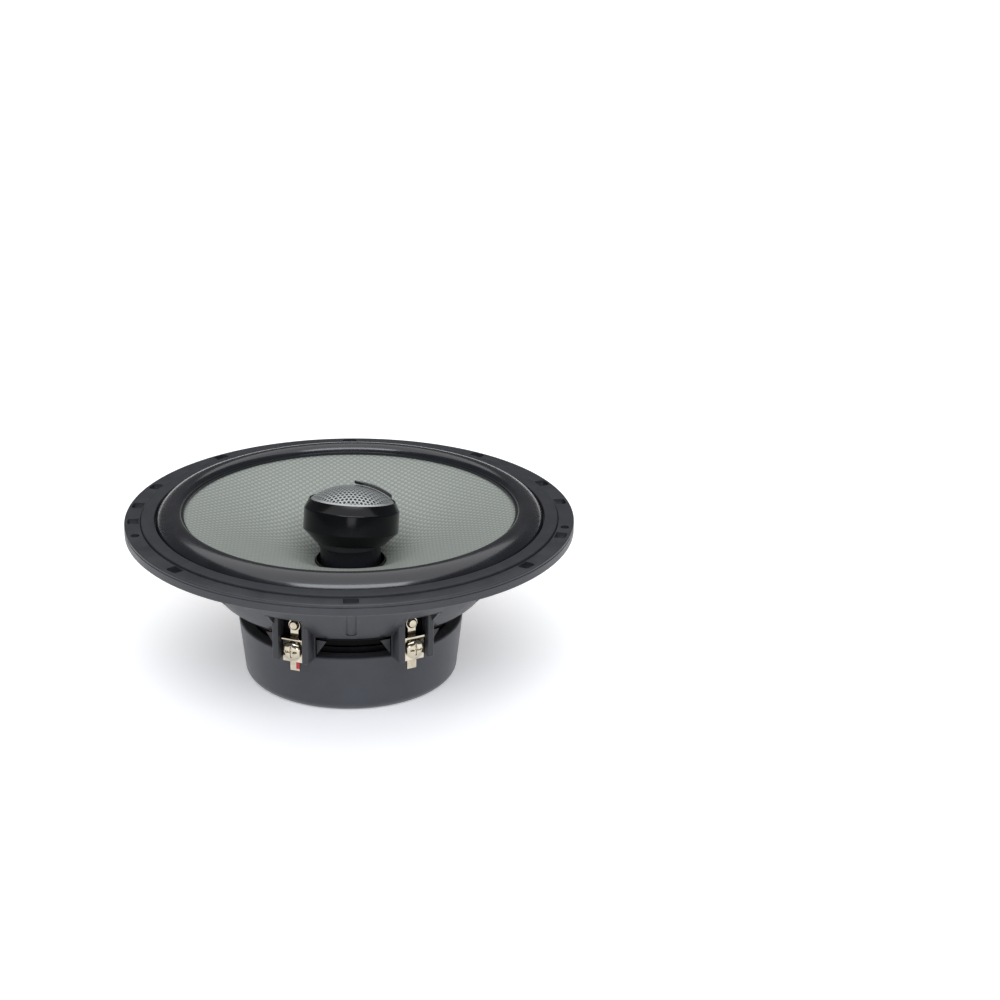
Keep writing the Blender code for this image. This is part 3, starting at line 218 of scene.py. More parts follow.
def moulded_plastic(name="Moulded polypropylene"):
    """Filled polypropylene, injection moulded: satin charcoal. Painted shade makes it blacker and
    drier in the neck under the bowl and behind the terminals, which lie in deep shade."""
    made, tree, shader = grained_finish(name, ("#242529", "#2e2f34"), (0.34, 0.48), 0.35, 0.02)
    reach = add(
        tree, "ShaderNodeVectorMath", {"operation": "LENGTH"}, {0: place(tree, (1, 1, 0))}
    ).outputs["Value"]
    height = add(tree, "ShaderNodeSeparateXYZ", None, {"Vector": place(tree)}).outputs["Z"]
    inside = add(
        tree, "ShaderNodeMath", {"operation": "LESS_THAN", 1: PAINTED_SHADE_RADIUS * MM}, {0: reach}
    ).outputs[0]
    below = add(
        tree, "ShaderNodeMath", {"operation": "LESS_THAN", 1: (FACE - PAINTED_SHADE_DEPTH) * MM}, {0: height}
    ).outputs[0]
    painted_shade = add(
        tree, "ShaderNodeMath", {"operation": "MULTIPLY"}, {0: inside, 1: below}
    ).outputs[0]
    skin = shader.inputs["Base Color"].links[0].from_socket
    # painted shade: near black colour and little shine inside the neck and behind the terminals
    tone = add(
        tree,
        "ShaderNodeMix",
        {"data_type": "RGBA", 7: linear("#08090a")},
        {0: painted_shade, 6: skin},
    ).outputs[2]
    shine = add(
        tree, "ShaderNodeMapRange", {"To Min": 0.5, "To Max": 0.06}, {"Value": painted_shade}
    ).outputs["Result"]
    tree.links.new(tone, shader.inputs["Base Color"])
    tree.links.new(shine, shader.inputs["Specular IOR Level"])
    shader.inputs["IOR"].default_value = 1.49
    return made


def foam_gasket():
    """Closed-cell foam ring: a soft, matt, faintly pitted face."""
    made, _, shader = grained_finish(
        "Closed-cell gasket foam", ("#26272b", "#2f3034"), (0.55, 0.72), 0.5, 0.05, 5.0
    )
    shader.inputs["IOR"].default_value = 1.5
    shader.inputs["Specular IOR Level"].default_value = 0.28
    return made


def butyl_rubber():
    """Butyl rubber, press moulded: deep grey with a satin sheen and slight bloom."""
    made, _, shader = grained_finish(
        "Pressed butyl rubber", ("#14151a", "#1c1d23"), (0.2, 0.3), 0.6, 0.008, 14.0
    )
    shader.inputs["IOR"].default_value = 1.52
    shader.inputs["Specular IOR Level"].default_value = 0.4
    shader.inputs["Coat Weight"].default_value = 0.5
    shader.inputs["Coat Roughness"].default_value = 0.14
    return made


def boot_rubber():
    """Moulded EPDM cover: matt grey-black with bloom that lightens it in patches."""
    made, _, shader = grained_finish(
        "Moulded EPDM rubber", ("#2a2c33", "#373941"), (0.4, 0.56), 0.45, 0.025, 12.0
    )
    shader.inputs["IOR"].default_value = 1.52
    shader.inputs["Sheen Weight"].default_value = 0.25
    return made


def glass_cloth(thread):
    """Woven glass fibre in clear resin: a plain weave whose threads catch the light in turn, as
    painted highlights on alternate threads, with painted shade where the threads dip.
    """
    made, tree, shader = new_material("Woven glass fibre")
    coords = add(tree, "ShaderNodeTexCoord")
    flat = add(
        tree,
        "ShaderNodeMapping",
        {"Scale": (1 / thread, 1 / thread, 0), "Location": (500.0, 500.0, 0.5)},
        {"Vector": coords.outputs["Object"]},
    ).outputs["Vector"]
    checks = add(tree, "ShaderNodeTexChecker", {"Scale": 1.0}, {"Vector": flat})
    split = add(tree, "ShaderNodeSeparateXYZ", None, {"Vector": flat})
    waves = []
    for axis in ("X", "Y"):
        turns = add(
            tree,
            "ShaderNodeMath",
            {"operation": "MULTIPLY", 1: math.pi},
            {0: split.outputs[axis]},
        )
        sine = add(tree, "ShaderNodeMath", {"operation": "SINE"}, {0: turns.outputs[0]})
        waves.append(
            add(tree, "ShaderNodeMath", {"operation": "ABSOLUTE"}, {0: sine.outputs[0]}).outputs[0]
        )
    pillow = add(
        tree, "ShaderNodeMath", {"operation": "MULTIPLY"}, {0: waves[0], 1: waves[1]}
    ).outputs[0]
    fibres = []
    for stretch in ((9.0, 0.8, 1.0), (0.8, 9.0, 1.0)):
        along = add(tree, "ShaderNodeMapping", {"Scale": stretch}, {"Vector": flat})
        fibres.append(
            add(
                tree,
                "ShaderNodeTexNoise",
                {"Scale": 1.0, "Detail": 2.0},
                {"Vector": along.outputs["Vector"]},
            ).outputs["Fac"]
        )
    strands = add(
        tree,
        "ShaderNodeMix",
        {"data_type": "FLOAT"},
        {0: checks.outputs["Fac"], 2: fibres[0], 3: fibres[1]},
    ).outputs[0]
    # painted highlight: alternate threads are painted lighter for the light they catch in turn
    lit = add(
        tree,
        "ShaderNodeMix",
        {"data_type": "RGBA", 6: linear("#7e837d"), 7: linear("#959a94")},
        {0: checks.outputs["Fac"]},
    ).outputs[2]
    threads = add(
        tree,
        "ShaderNodeMix",
        {"data_type": "RGBA", "blend_type": "MULTIPLY", 0: 0.55},
        {6: lit, 7: ramp(tree, strands, [(0.3, grey(0.74)), (0.7, grey(1.0))])},
    ).outputs[2]
    # painted shade: each thread is painted darker towards its edges, where it dips
    shaded = add(
        tree,
        "ShaderNodeMix",
        {"data_type": "RGBA", "blend_type": "MULTIPLY", 0: 0.5},
        {6: threads, 7: ramp(tree, pillow, [(0.0, grey(0.66)), (0.45, grey(1.0))])},
    ).outputs[2]
    height = add(
        tree,
        "ShaderNodeMath",
        {"operation": "MULTIPLY_ADD", 1: 0.25},
        {0: strands, 2: pillow},
    ).outputs[0]
    bump = add(tree, "ShaderNodeBump", {"Strength": 0.5, "Distance": 0.12 * MM}, {"Height": height})
    tree.links.new(shaded, shader.inputs["Base Color"])
    tree.links.new(bump.outputs["Normal"], shader.inputs["Normal"])
    shader.inputs["Roughness"].default_value = 0.48
    shader.inputs["IOR"].default_value = 1.52
    shader.inputs["Coat Weight"].default_value = 0.1
    shader.inputs["Coat Roughness"].default_value = 0.25
    return made


def gloss_plastic(name="Gloss black ABS", colours=("#08090b", "#0d0e11"), roughness=(0.16, 0.24)):
    """Polished black ABS: deep, mirror-like, with the faintest handling haze."""
    made, _, shader = grained_finish(name, colours, roughness, 1.2, 0.004, 11.0)
    shader.inputs["IOR"].default_value = 1.5
    shader.inputs["Specular IOR Level"].default_value = 0.24
    return made


def painted_grille(colour):
    """Punched steel in silver lacquer: bright, finely flaked."""
    made, tree, shader = new_material("Silver lacquered steel")
    flakes = add(
        tree,
        "ShaderNodeTexVoronoi",
        {"Scale": 1 / (0.16 * MM)},
        {"Vector": place(tree)},
    )
    tone = ramp(
        tree,
        flakes.outputs["Color"],
        [(0.15, tuple(0.82 * c for c in colour[:3]) + (1.0,)), (0.85, tuple(colour))],
    )
    bump = add(
        tree,
        "ShaderNodeBump",
        {"Strength": 0.25, "Distance": 0.01 * MM},
        {"Height": flakes.outputs["Distance"]},
    )
    tree.links.new(tone, shader.inputs["Base Color"])
    tree.links.new(bump.outputs["Normal"], shader.inputs["Normal"])
    shader.inputs["Metallic"].default_value = 0.7
    shader.inputs["Roughness"].default_value = 0.42
    return made


def plated(name, colours, roughness, line_mm=0.25):
    """A plated metal skin with fine drawn lines along its length."""
    return grained_finish(name, colours, roughness, line_mm, 0.006, 3.5, 1.0)[0]


def nickel_plate():
    """Bright nickel on stamped brass: warm silver that mirrors its surroundings."""
    return plated("Nickel-plated brass", ("#aca18c", "#d2cab9"), (0.08, 0.18), 0.5)


def red_enamel():
    """Brushed-on enamel: strong red, glossy, a little uneven."""
    return grained_finish("Red enamel", ("#a3162a", "#c22338"), (0.2, 0.32), 0.6, 0.01, 1.5)[0]


def zinc_plate():
    """Zinc-plated steel: cool grey, softly hazed."""
    return plated("Zinc-plated steel", ("#8f949c", "#aeb3ba"), (0.26, 0.42))


def black_steel():
    """Phosphated steel: near black, dry and finely crystalline; the near black is partly its own
    finish, partly painted shade for the dark gap between bowl and boot.
    """
    return plated("Phosphated steel with painted shade", ("#1b1c1e", "#26272a"), (0.5, 0.66), 0.3)


def copper_wire():
    """Enamelled copper, wound or braided: warm, with the rows of turns as fine ridges."""
    return grained_finish(
        "Enamelled copper", ("#8a4a22", "#b5652f"), (0.25, 0.4), 0.3, 0.01, 2.0, 1.0
    )[0]


def ferrite():
    """Sintered ferrite, ground: dark grey and matt, slightly grainy."""
    return grained_finish("Ground ferrite", ("#26272a", "#34363a"), (0.6, 0.8), 0.3, 0.02)[0]


def dipped_cloth():
    """Cotton cloth dipped in resin and pressed: amber brown, a visible coarse weave."""
    return grained_finish("Resin-dipped cloth", ("#7a5726", "#96703a"), (0.6, 0.8), 0.4, 0.08)[0]


def polyimide():
    """Glass-reinforced former film: near black with a satin face."""
    return grained_finish("Black former film", ("#1a1613", "#241f1b"), (0.28, 0.4), 0.8, 0.004)[0]


def coated_silk():
    """Coated silk dome: grey, matt, closely woven."""
    return grained_finish("Coated silk", ("#4a4b50", "#5c5d63"), (0.5, 0.65), 0.25, 0.02)[0]


def acetal():
    """Moulded acetal: black, smooth and slippery."""
    return grained_finish("Moulded acetal", ("#17181b", "#1e1f23"), (0.35, 0.45), 0.6, 0.006)[0]


def pvc_jacket(name, colours):
    """PVC wire insulation: evenly coloured, slightly waxy."""
    return grained_finish(name, colours, (0.35, 0.5), 0.5, 0.01, 3.0)[0]


TABLE_GLOW = 0.35


def studio_floor(colour):
    """Opal acrylic table lit from beneath: near white, evenly glowing, faintly mottled."""
    made, tree, shader = new_material("Backlit opal acrylic")
    noise = add(
        tree, "ShaderNodeTexNoise", {"Scale": 60.0, "Detail": 3.0}, {"Vector": place(tree)}
    )
    dim = tuple(0.985 * c for c in colour[:3]) + (1.0,)
    tone = ramp(tree, noise.outputs["Fac"], [(0.3, dim), (0.7, tuple(colour))])
    tree.links.new(tone, shader.inputs["Base Color"])
    tree.links.new(tone, shader.inputs["Emission Color"])
    shader.inputs["Emission Strength"].default_value = TABLE_GLOW
    shader.inputs["Roughness"].default_value = 0.7
    return made


# ---- mesh helpers -----------------------------------------------------------------------
def finished(name, bm, material, smooth=35):
    """An object at the origin from a bmesh in millimetres."""
    bmesh.ops.remove_doubles(bm, verts=bm.verts, dist=0.001)
    bmesh.ops.recalc_face_normals(bm, faces=bm.faces)
    bmesh.ops.scale(bm, vec=(MM, MM, MM), verts=bm.verts)
    mesh = bpy.data.meshes.new(name)
    bm.to_mesh(mesh)
    bm.free()
    mesh.shade_smooth()
    mesh.set_sharp_from_angle(angle=math.radians(smooth))
    mesh.materials.append(material)
    obj = bpy.data.objects.new(name.replace(" ", "_"), mesh)
    bpy.context.scene.collection.objects.link(obj)
    return obj


def spun(outline, steps=192, closed=True):
    """A bmesh turned from a closed outline of (radius, z) points."""
    bm = bmesh.new()
    verts = [bm.verts.new((radius, 0.0, z)) for radius, z in outline]
    edges = [bm.edges.new(pair) for pair in zip(verts, verts[1:])]
    if closed and not (outline[0][0] == 0 and outline[-1][0] == 0):
        edges.append(bm.edges.new((verts[-1], verts[0])))
    bmesh.ops.spin(
        bm,
        geom=verts + edges,
        cent=(0, 0, 0),
        axis=(0, 0, 1),
        angle=2 * math.pi,
        steps=steps,
        use_merge=True,
    )
    bmesh.ops.remove_doubles(bm, verts=bm.verts, dist=0.001)
    bmesh.ops.recalc_face_normals(bm, faces=bm.faces)
    return bm


def arc(centre, radius, start, end, steps):
    points = []
    for step in range(steps + 1):
        angle = math.radians(start + (end - start) * step / steps)
        points.append(
            (centre[0] + radius * math.cos(angle), centre[1] + radius * math.sin(angle))
        )
    return points


def ribbon(middle, thickness):
    """Closed outline of an even sheet along a line of (radius, z) points."""
    upper = []
    lower = []
    for index, (radius, z) in enumerate(middle):
        before = Vector(middle[max(index - 1, 0)])
        after = Vector(middle[min(index + 1, len(middle) - 1)])
        along = (after - before).normalized()
        offset = Vector((-along.y, along.x)) * (thickness / 2)
        upper.append((radius + offset.x, z + offset.y))
        lower.append((radius - offset.x, z - offset.y))
    return upper + lower[::-1]


def slab(outline, bottom, top, matrix=Matrix(), soften=0.0):
    """A bmesh of a flat outline pulled up from bottom to top; its edges may be rounded."""
    bm = bmesh.new()
    face = bm.faces.new([bm.verts.new((x, y, bottom)) for x, y in outline])
    pulled = bmesh.ops.extrude_face_region(bm, geom=[face])
    moved = [item for item in pulled["geom"] if isinstance(item, bmesh.types.BMVert)]
    bmesh.ops.translate(bm, vec=(0, 0, top - bottom), verts=moved)
    bmesh.ops.recalc_face_normals(bm, faces=bm.faces)
    if soften:
        bmesh.ops.bevel(
            bm,
            geom=list(bm.edges),
            offset=soften,
            segments=3,
            profile=0.5,
            affect="EDGES",
            material=-1,
        )
    bmesh.ops.transform(bm, matrix=matrix, verts=bm.verts)
    return bm


def block(low_corner, high_corner, matrix=Matrix(), soften=0.0):
    (x0, y0, z0), (x1, y1, z1) = low_corner, high_corner
    return slab([(x0, y0), (x1, y0), (x1, y1), (x0, y1)], z0, z1, matrix, soften)


def turn(degrees):
    return Matrix.Rotation(math.radians(degrees), 4, "Z")


def carve(obj, helpers):
    """Joins or cuts each helper bmesh in turn, for good, and removes the helpers."""
    made = []
    for index, (operation, bm) in enumerate(helpers):
        helper = finished(f"helper {index}", bm, obj.data.materials[0])
        modifier = obj.modifiers.new(helper.name, "BOOLEAN")
        modifier.operation = operation
        modifier.solver = "EXACT"
        modifier.object = helper
        made.append(helper)
    bpy.context.view_layer.update()
    mesh = bpy.data.meshes.new_from_object(
        obj.evaluated_get(bpy.context.evaluated_depsgraph_get())
    )
    obj.modifiers.clear()
    obj.data = mesh
    for helper in made:
        bpy.data.objects.remove(helper, do_unlink=True)
    mesh.shade_smooth()
    mesh.set_sharp_from_angle(angle=math.radians(32))
    return obj


def settle(obj, *nodes, body=None):
    """The piece stands for these CAD nodes and moves with their body."""
    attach(obj, body or BODY_OF[nodes[0]])
    if nodes:
        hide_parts(*nodes)
    return obj


def refined(node, name, material, soften=0.12):
    """A CAD node's own shape with merged faces and small rounded edges."""
    bm = bmesh.new()
    bm.from_mesh(frame["nodes"][node].data)
    bmesh.ops.scale(bm, vec=(1 / MM, 1 / MM, 1 / MM), verts=bm.verts)
    bmesh.ops.remove_doubles(bm, verts=bm.verts, dist=0.002)
    bmesh.ops.dissolve_limit(
        bm, angle_limit=math.radians(2), verts=bm.verts, edges=bm.edges, delimit={"NORMAL"}
    )
    obj = finished(name, bm, material, 40)
    if soften:
        bevel = obj.modifiers.new("Edge radius", "BEVEL")
        bevel.width = soften * MM
        bevel.segments = 2
        bevel.limit_method = "ANGLE"
        bevel.angle_limit = math.radians(40)
    return obj


def flex(obj):
    """Bakes a round piece's placement into its mesh."""
    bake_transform(obj)


# ---- settings ---------------------------------------------------------------------------
class SpeakerSettings(bpy.types.PropertyGroup):
    thread: bpy.props.FloatProperty(
        name="Thread spacing",
        description="Spacing of the cone cloth's threads",
        default=1.3 * MM,
        unit="LENGTH",
    )
    hole_spacing: bpy.props.FloatProperty(
        name="Hole spacing",
        description="Distance between the grille's holes, in millimetres",
        default=1.55,
    )
    hole_width: bpy.props.FloatProperty(
        name="Hole width",
        description="Width of one grille hole, in millimetres",
        default=1.1,
    )
    grille_colour: bpy.props.FloatVectorProperty(
        name="Grille colour",
        description="Lacquer of the tweeter grille",
        subtype="COLOR",
        size=4,
        default=linear("#b0b3b3"),
    )
    floor_colour: bpy.props.FloatVectorProperty(
        name="Floor colour",
        description="Colour of the studio floor",
        subtype="COLOR",
        size=4,
        default=linear("#f4f4f5"),
    )
    key_power: bpy.props.FloatProperty(
        name="Key light",
        description="Power of the overhead softbox, in watts",
        default=150.0,
    )


def settings():
    return bpy.context.scene.speaker_settings


# ---- basket -----------------------------------------------------------------------------
SLOT_ANGLES = (8, 22.5, 51, 90, 129, 157.5, 172, 183.5, 219.5, 270, 321, 343.5)
PILOT_ANGLES = (193.5, 349.5)
WINDOW_ANGLES = (0, 30, 60, 90, 120, 150, 180, 210, 330)


def basket_outline():
    """Section of flange, collar, bowl, floor, neck and foot."""
    edge = 0.45
    return [
        (SEAT_RADIUS, FACE),
        *arc((FLANGE_RADIUS - edge, FACE - edge), edge, 90, 0, 4),
        (FLANGE_RADIUS, FACE - 0.9),
        (FLANGE_RADIUS - 0.25, FACE - 1.05),
        (FLANGE_RADIUS - 0.25, FACE - 1.25),
        (FLANGE_RADIUS, FACE - 1.4),
        (FLANGE_RADIUS, FACE - 4.0),
        (FLANGE_RADIUS - 0.4, FACE - 4.4),
        (68.2, FACE - 4.4),
        (68.2, FACE - 8.0),
        (67.9, FACE - 8.8),
        (50.6, FACE - 26.3),
        (49.6, FACE - 27.6),
        *arc((47.6, FACE - 28.4), 0.7, 0, -90, 3),
        (37.0, FACE - 29.1),
        (36.6, FACE - 29.5),
        (36.6, FACE - 36.2),
        (36.3, FACE - 36.5),
        (27.6, FACE - 36.5),
        (27.6, FACE - 34.0),
        (34.1, FACE - 34.0),
        (34.1, FACE - 27.1),
        (48.0, FACE - 27.1),
        (66.0, FACE - 9.0),
        (66.0, SEAT_Z),
        (SEAT_RADIUS, SEAT_Z),
    ]


def slot_cutter(angle):
    """One screw slot: flat inside, its two outer corners round."""
    inner = SEAT_RADIUS + 0.4
    outer = inner + 4.1
    half = 2.7
    radius = 1.3
    corner = arc((outer - radius, half - radius), radius, 0, 90, 6)
    outline = [(inner, -half), *[(x, -y) for x, y in reversed(corner)], *corner, (inner, half)]
    return slab(outline, FACE - 9, FACE + 9, turn(angle))


def window_cutter(angle):
    half = 7.5
    radius = 2.5
    bottom = FACE - 21.5
    top = FACE - 9.5
    outline = []
    for x, y, start in (
        (half - radius, top - radius, 0),
        (radius - half, top - radius, 90),
        (radius - half, bottom + radius, 180),
        (half - radius, bottom + radius, 270),
    ):
        outline += arc((x, y), radius, start, start + 90, 5)
    return slab(outline, 48.0, 70.4, turn(angle) @ SIDEWAYS)


def bore_cutter(radius, bottom, top, matrix):
    bm = spun([(0, top), (radius, top), (radius, bottom), (0, bottom)], 24)
    bmesh.ops.transform(bm, matrix=matrix @ turn(4.3), verts=bm.verts)
    return bm


def bracket_helpers(angle):
    """Niche in the bowl, then board, roof, gussets and two guard walls for a terminal."""
    at = turn(angle)
    board_bottom = FACE - BOARD_DEPTH
    guard_bottom = FACE - GUARD_DEPTH
    guard_top = FACE - GUARD_TOP_DEPTH
    floor = FACE - FLOOR_DEPTH
    half = BRACKET_HALF
    niche = block((48.0, -6.0, floor - 2), (COLLAR_RADIUS, 6.0, guard_top - 0.6), at)
    board = block((BOARD_BACK, -half, board_bottom), (BOARD_FRONT, half, guard_top), at, 0.2)
    roof = block((47.4, 0.3 - half, guard_top - 1.2), (59.0, half - 0.3, guard_top - 0.3), at)
    helpers = [("DIFFERENCE", niche), ("UNION", board), ("UNION", roof)]
    gusset = [
        (-half - 4.2, floor + 0.3),
        (half + 4.2, floor + 0.3),
        (half - 0.3, board_bottom + 0.3),
        (0.3 - half, board_bottom + 0.3),
    ]
    lift = Matrix.Translation((47.5, 0, 0))
    helpers.append(("UNION", slab(gusset, 0, 1.1, at @ lift @ SIDEWAYS)))
    for inner, outer in ((0.6 - half, -GUARD_HALF_GAP), (GUARD_HALF_GAP, half - 0.6)):
        wall = block((47.6, inner, guard_bottom), (GUARD_FRONT, outer, guard_top - 0.5), at, 0.5)
        helpers.append(("UNION", wall))
    for radius, depth in (SCREW_HOLE, EYELET_HOLE):
        across = at @ Matrix.Translation((BOARD_FRONT, 0, FACE - depth)) @ SIDEWAYS
        helpers.append(("DIFFERENCE", bore_cutter(radius, -4, 4, across)))
    return helpers


def wall_mark():
    """A shallow U-shaped groove down the bowl's slope, between the terminals."""
    outer = 1.85
    inner = 1.35
    length = 24.0
    centre = (0, 2.6)
    outline = [
        *arc(centre, outer, 180, 360, 10),
        (outer, length),
        (inner, length),
        *arc(centre, inner, 360, 180, 10),
        (-inner, length),
        (-outer, length),
    ]
    slope = Vector((17.3, 0, 17.5)).normalized()
    across = Vector((0, 1, 0))
    outward = across.cross(slope)
    rest = Matrix((across, slope, outward)).transposed().to_4x4()
    foot = Matrix.Translation((50.6, 0, FACE - 26.3))
    return slab(outline, -0.35, 1.5, turn(270) @ foot @ rest)


class SPEAKER_OT_basket(bpy.types.Operator):
    """Moulded basket: slotted flange, windowed bowl and the two terminal brackets"""

    bl_idname = "speaker.basket"
    bl_label = "Basket"

    def execute(self, context):
        obj = finished("Basket", spun(basket_outline(), 192), moulded_plastic())
        helpers = [("DIFFERENCE", slot_cutter(angle)) for angle in SLOT_ANGLES]
        for angle in PILOT_ANGLES:
            at = turn(angle) @ Matrix.Translation((79.5, 0, 0))
            helpers.append(("DIFFERENCE", bore_cutter(1.6, FACE - 9, FACE + 9, at)))
        helpers += [("DIFFERENCE", window_cutter(angle)) for angle in WINDOW_ANGLES]
        for _, angle in TERMINALS:
            helpers += bracket_helpers(angle)
        helpers.append(("DIFFERENCE", wall_mark()))
        settle(carve(obj, helpers), "basket")
        return {"FINISHED"}


class SPEAKER_OT_gasket(bpy.types.Operator):
    """Foam gasket ring that clamps the surround's rim"""

    bl_idname = "speaker.gasket"
    bl_label = "Gasket ring"

    def execute(self, context):
        top = FACE + 0.9
        bottom = SEAT_Z + 1.4
        outline = [
            *arc((GASKET_INNER + 0.25, top - 0.25), 0.25, 180, 90, 3),
            *arc((GASKET_OUTER - 0.5, top - 0.5), 0.5, 90, 0, 4),
            (GASKET_OUTER, bottom),
            (GASKET_INNER, bottom),
        ]
        settle(finished("Gasket ring", spun(outline), foam_gasket()), "gasket_ring")
        return {"FINISHED"}


# ---- moving cone ------------------------------------------------------------------------
def cone_height(radius):
    """Front surface of the cone: a straight flare with an even bulge."""
    share = (radius - NECK_RADIUS) / (CONE_SEEN - NECK_RADIUS)
    return CONE_NECK_Z + CONE_DEPTH * share + 4 * CONE_BULGE * share * (1 - share)


class SPEAKER_OT_cone(bpy.types.Operator):
    """Woven glass-fibre cone with its former and winding"""

    bl_idname = "speaker.cone"
    bl_label = "Cone and voice coil"

    def execute(self, context):
        count = 40
        radii = [NECK_RADIUS + (CONE_OUTER - NECK_RADIUS) * i / count for i in range(count + 1)]
        front = [(radius, cone_height(radius)) for radius in radii]
        back = [(radius, z - CONE_THICKNESS) for radius, z in front]
        cone = finished("Cone", spun(front + back[::-1]), glass_cloth(settings().thread), 50)
        settle(cone, "cone")
        for node, name, material in (
            ("voice_coil_former", "Voice coil former", polyimide()),
            ("voice_coil_winding", "Voice coil winding", copper_wire()),
        ):
            settle(refined(node, name, material, 0), node)
        return {"FINISHED"}


class SPEAKER_OT_surround(bpy.types.Operator):
    """Half-roll rubber surround from the cone's edge to the gasket"""

    bl_idname = "speaker.surround"
    bl_label = "Surround"

    def execute(self, context):
        thickness = 0.8
        inner_z = CONE_EDGE_Z + 0.3 + thickness / 2
        outer_z = SEAT_Z + 0.3 + thickness / 2
        roll_inner = CONE_SEEN + 1.08
        roll_outer = GASKET_INNER - thickness
        centre = (roll_inner + roll_outer) / 2
        half = (roll_outer - roll_inner) / 2
        top = FACE + 4.4 - thickness / 2
        middle = [(CONE_SEEN, cone_height(CONE_SEEN) + 0.3 + thickness / 2)]
        steps = 28
        for step in range(steps + 1):
            angle = math.pi * step / steps
            rise = math.sin(angle)
            foot = inner_z + (outer_z - inner_z) * step / steps
            radius = centre - half * math.cos(angle) - 0.8 * rise * rise
            middle.append((radius, foot + (top - (inner_z + outer_z) / 2) * rise))
        middle.append((GASKET_INNER + 4.2, outer_z))
        obj = finished("Surround", spun(ribbon(middle, thickness)), butyl_rubber(), 60)
        flex(obj)
        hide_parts("surround")
        return {"FINISHED"}


class SPEAKER_OT_spider(bpy.types.Operator):
    """Corrugated cloth spider that centres the coil"""

    bl_idname = "speaker.spider"
    bl_label = "Spider"

    def execute(self, context):
        inner = high("voice_coil_former", 0) + 0.3
        seat = 34.1
        rest = low("spider", 2) + 1.1
        count = 72
        middle = []
        for step in range(count + 1):
            share = step / count
            wave = 0.8 * math.sin(2 * math.pi * 3 * share)
            middle.append((inner + (seat - inner) * share, rest + wave))
        middle.append((high("spider", 0), rest))
        obj = finished("Spider", spun(ribbon(middle, 0.55), 96), dipped_cloth(), 60)
        flex(obj)
        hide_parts("spider")
        return {"FINISHED"}


# ---- motor ------------------------------------------------------------------------------
class SPEAKER_OT_motor(bpy.types.Operator):
    """Steel plates, ferrite ring, rivets and the nut under the pole"""

    bl_idname = "speaker.motor"
    bl_label = "Motor"

    def execute(self, context):
        zinc = zinc_plate()
        black = black_steel()
        for node, name, material in (
            # the top plate's near black is partly painted shade for the gap between the bowl and the
            # boot
            ("top_plate", "Top plate", black),
            ("pole_yoke", "Pole and back plate", black),
            ("post_nut", "Post nut", zinc),
            ("post_washer", "Post washer", zinc),
        ):
            settle(refined(node, name, material, 0.15), node)
        settle(refined("ferrite_magnet", "Ferrite magnet", ferrite(), 0.4), "ferrite_magnet")
        for number in range(1, 5):
            node = f"basket_rivet_{number}"
            settle(refined(node, f"Basket rivet {number}", zinc, 0.1), node)
        return {"FINISHED"}


class SPEAKER_OT_boot(bpy.types.Operator):
    """Rubber boot round the magnet"""

    bl_idname = "speaker.boot"
    bl_label = "Magnet boot"

    def execute(self, context):
        inner = high("top_plate", 0) + 0.3
        base = BOOT_RADIUS - 2.0
        fillet = 3.4
        outline = [
            (0, 1.8),
            (inner, 1.8),
            (inner, BOOT_TOP - 0.3),
            (inner + 0.3, BOOT_TOP),
            *arc((BOOT_RADIUS - 0.9, BOOT_TOP - 0.9), 0.9, 90, 0, 5),
            *arc((base - fillet, fillet), fillet, 0, -90, 8),
            (0, 0),
        ]
        obj = finished("Magnet boot", spun(outline, 160), boot_rubber())
        settle(obj, "magnet_boot")
        return {"FINISHED"}


# ---- terminals --------------------------------------------------------------------------
class SPEAKER_OT_terminals(bpy.types.Operator):
    """Nickel-plated tabs, clamp plates, cross-head screws and eyelets"""

    bl_idname = "speaker.terminals"
    bl_label = "Terminals"

    def execute(self, context):
        nickel = nickel_plate()
        for side in ("left", "right"):
            for node, name, soften in (
                (f"terminal_tab_{side}", f"Terminal tab {side}", 0.15),
                (f"clamp_plate_{side}", f"Clamp plate {side}", 0.25),
                (f"clamp_screw_{side}", f"Clamp screw {side}", 0.1),
                (f"terminal_rivet_{side}", f"Terminal eyelet {side}", 0.08),
            ):
                settle(refined(node, name, nickel, soften), node)
        side, angle = TERMINALS[0]
        outline = [(0.5, -40.7), (1.8, -40.7), (1.8, -38.2), (0.5, -38.2)]
        outward = turn(angle) @ Matrix.Translation((0, 0, FACE)) @ SIDEWAYS
        mark = finished(f"Polarity mark {side}", slab(outline, 49.85, 49.98, outward), red_enamel())
        settle(mark, body=BODY_OF["basket"])
        return {"FINISHED"}


# ---- tweeter ----------------------------------------------------------------------------
POD_RADIUS = 17.65
GRILLE_RADIUS = POD_RADIUS - 2.35
GRILLE_Z = 13.0
GRILLE_RISE = 5.6
DOME_BALL = (GRILLE_RADIUS**2 + GRILLE_RISE**2) / (2 * GRILLE_RISE)
TO_POD = Matrix.Scale(1 / MM, 4) @ POD_MATRIX @ Matrix.Scale(MM, 4)


def in_pod(bm):
    """Moves a shape made upright round the swivel's centre into the leaning pod."""
    bmesh.ops.transform(bm, matrix=TO_POD, verts=bm.verts)
    return bm


def grille_height(radius):
    return GRILLE_Z + GRILLE_RISE - DOME_BALL + math.sqrt(DOME_BALL**2 - radius**2)


